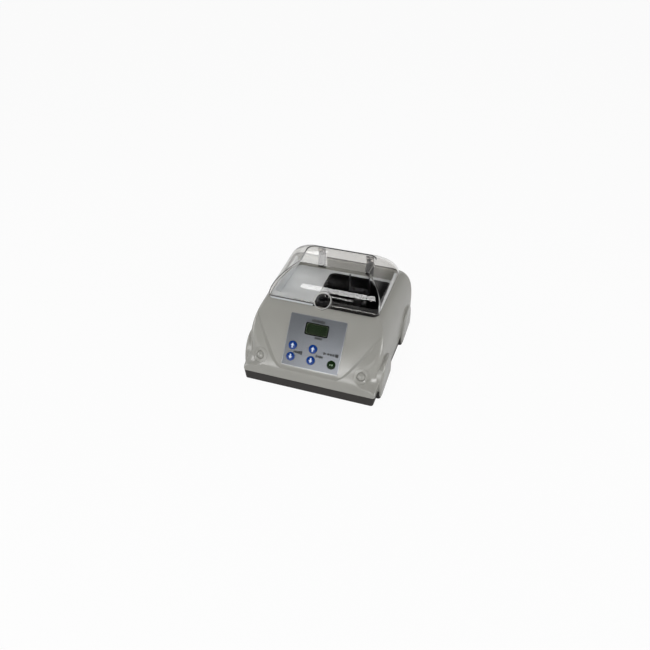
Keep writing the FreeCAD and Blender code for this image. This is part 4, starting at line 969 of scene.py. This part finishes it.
paper_first = add_node(
    paper_tree, "ShaderNodeMath", {"operation": "LESS_THAN", 1: 0.5}, {0: paper_rays["Diffuse Depth"]}
).outputs["Value"]
paper_share = add_node(
    paper_tree, "ShaderNodeMath", {"operation": "MULTIPLY"}, {0: paper_shown, 1: paper_first}
).outputs["Value"]
paper_diffuse = add_node(paper_tree, "ShaderNodeBsdfDiffuse", {"Color": to_linear("#e4e4e4")})
paper_glow = add_node(paper_tree, "ShaderNodeEmission", {"Strength": 1.0})
paper_mix = add_node(
    paper_tree,
    "ShaderNodeMixShader",
    {},
    {0: paper_share, 1: paper_diffuse.outputs["BSDF"], 2: paper_glow.outputs["Emission"]},
)
add_node(paper_tree, "ShaderNodeOutputMaterial", {}, {"Surface": paper_mix.outputs["Shader"]})
floor.data.materials.append(paper)

# Studio room. White behind the object. Mirrored or seen through the lid it has bright walls
# and a dark ceiling, with a dark flag on the right for mirrors alone, and it lights dull
# surfaces only faintly.

# The ceiling's limits are sines of the angle above the floor, and the flag's of the angle to the right.
ROOM_FILL = 0.18
CEILING_LEAN = -0.06
CEILING_FROM = 0.50
CEILING_FULL = 0.60
CEILING_GLOW = 0.02
FLAG_FROM = 0.38
FLAG_FULL = 0.58
FLAG_GLOW = 0.06
scene = bpy.context.scene
scene.view_settings.view_transform = "Standard"
world = bpy.data.worlds.new("white_studio")
scene.world = world
world.use_nodes = True
sky = world.node_tree
sky.nodes.clear()
sky_rays = add_node(sky, "ShaderNodeLightPath").outputs
sky_seen = add_node(
    sky,
    "ShaderNodeMath",
    {"operation": "MAXIMUM"},
    {0: sky_rays["Is Glossy Ray"], 1: sky_rays["Is Transmission Ray"]},
).outputs["Value"]
sky_first = add_node(
    sky, "ShaderNodeMath", {"operation": "LESS_THAN", 1: 0.5}, {0: sky_rays["Diffuse Depth"]}
).outputs["Value"]
sky_mirrored = add_node(
    sky, "ShaderNodeMath", {"operation": "MULTIPLY"}, {0: sky_seen, 1: sky_first}
).outputs["Value"]
sky_way = add_node(sky, "ShaderNodeTexCoord").outputs["Generated"]
sky_axes = add_node(sky, "ShaderNodeSeparateXYZ", {}, {"Vector": sky_way}).outputs
sky_height = add_node(
    sky, "ShaderNodeVectorMath", {"operation": "DOT_PRODUCT", 1: (0, CEILING_LEAN, 1)}, {0: sky_way}
).outputs["Value"]
sky_ceiling = add_node(
    sky,
    "ShaderNodeMapRange",
    {
        "interpolation_type": "SMOOTHSTEP",
        "From Min": CEILING_FROM,
        "From Max": CEILING_FULL,
        "To Min": 1.0,
        "To Max": CEILING_GLOW,
    },
    {"Value": sky_height},
).outputs["Result"]
sky_flag = add_node(
    sky,
    "ShaderNodeMapRange",
    {
        "interpolation_type": "SMOOTHSTEP",
        "From Min": FLAG_FROM,
        "From Max": FLAG_FULL,
        "To Min": 1.0,
        "To Max": FLAG_GLOW,
    },
    {"Value": sky_axes["X"]},
).outputs["Result"]
sky_flagged = add_node(
    sky, "ShaderNodeMix", {"data_type": "FLOAT", 2: 1.0}, {0: sky_rays["Is Glossy Ray"], 3: sky_flag}
).outputs[0]
sky_around = add_node(
    sky, "ShaderNodeMath", {"operation": "MULTIPLY"}, {0: sky_ceiling, 1: sky_flagged}
).outputs["Value"]
sky_inside = add_node(
    sky, "ShaderNodeMix", {"data_type": "FLOAT", 2: ROOM_FILL}, {0: sky_mirrored, 3: sky_around}
).outputs[0]
sky_strength = add_node(
    sky, "ShaderNodeMix", {"data_type": "FLOAT", 3: 1.0}, {0: sky_rays["Is Camera Ray"], 2: sky_inside}
).outputs[0]
sky_light = add_node(sky, "ShaderNodeBackground", {"Color": (1, 1, 1, 1)}, {"Strength": sky_strength})
add_node(sky, "ShaderNodeOutputWorld", {}, {"Surface": sky_light.outputs["Background"]})


# Lamps. Soft boxes all round: one strip overhead for the streak on the lid, two behind, one
# low on each side, and four in front for the light on the sloping keypad side. Places and
# sizes are in metres, power in watts.
def soft_lamp(name, place, aim, width, depth, power):
    data = bpy.data.lights.new(name, "AREA")
    data.shape = "RECTANGLE"
    data.size = width
    data.size_y = depth
    data.energy = power
    lamp = bpy.data.objects.new(name, data)
    scene.collection.objects.link(lamp)
    lamp.location = place
    lamp.rotation_euler = (Vector(place) - Vector(aim)).to_track_quat("Z", "Y").to_euler()


AIM_LOW = (0, 0, 0.05)
AIM_KEYPAD = (0, 0, 0.06)
AIM_LID_FRONT = (0, 0, 0.08)
AIM_LID = (0, 0, 0.10)
BELOW_STRIP = (-0.26, -0.10, 0)
soft_lamp("lamp_strip", (-0.26, -0.10, 1.30), BELOW_STRIP, width=0.28, depth=0.14, power=1.8)
soft_lamp("lamp_behind", (0, 0.80, 1.25), AIM_LOW, width=0.8, depth=0.5, power=1.6)
soft_lamp("lamp_spot_behind", (-0.48, 1.21, 0.96), AIM_LID, width=0.16, depth=0.08, power=0.16)
soft_lamp("lamp_right_low", (1.3, -0.3, 0.45), AIM_LOW, width=0.6, depth=0.5, power=7.0)
soft_lamp("lamp_left_low", (-1.3, -0.4, 0.45), AIM_LOW, width=0.6, depth=0.5, power=3.0)
soft_lamp("lamp_front_low", (-0.15, -1.1, 0.30), AIM_LOW, width=0.9, depth=0.3, power=2.7)
soft_lamp("lamp_front", (-0.35, -1.1, 0.60), AIM_LID_FRONT, width=1.0, depth=0.36, power=1.1)
soft_lamp("lamp_front_bright", (-0.2, -1.1, 0.78), AIM_KEYPAD, width=0.34, depth=0.07, power=0.72)
soft_lamp("lamp_front_right", (0.3, -1.1, 0.66), AIM_KEYPAD, width=0.2, depth=0.08, power=0.4)

# Camera. It looks down on the keypad side from the right, as in the photograph, from
# about a metre away.
CAMERA_TURN = math.radians(18.15)
CAMERA_RISE = math.radians(38.78)
CAMERA_ROLL = math.radians(-0.13)
CAMERA_DISTANCE = 0.9523
CAMERA_TARGET = Vector((-0.0006, -0.022, 0.06327))
CAMERA_LENS = 33.23
CAMERA_SENSOR = 36
camera_back = Vector(
    (
        math.cos(CAMERA_RISE) * math.sin(CAMERA_TURN),
        -math.cos(CAMERA_RISE) * math.cos(CAMERA_TURN),
        math.sin(CAMERA_RISE),
    )
)
camera_data = bpy.data.cameras.new("camera")
camera_data.lens = CAMERA_LENS
camera_data.sensor_width = CAMERA_SENSOR
camera = bpy.data.objects.new("camera", camera_data)
scene.collection.objects.link(camera)
camera.location = CAMERA_TARGET + camera_back * CAMERA_DISTANCE
camera.rotation_mode = "QUATERNION"
camera.rotation_quaternion = camera_back.to_track_quat("Z", "Y") @ Quaternion((0, 0, 1), CAMERA_ROLL)
scene.camera = camera
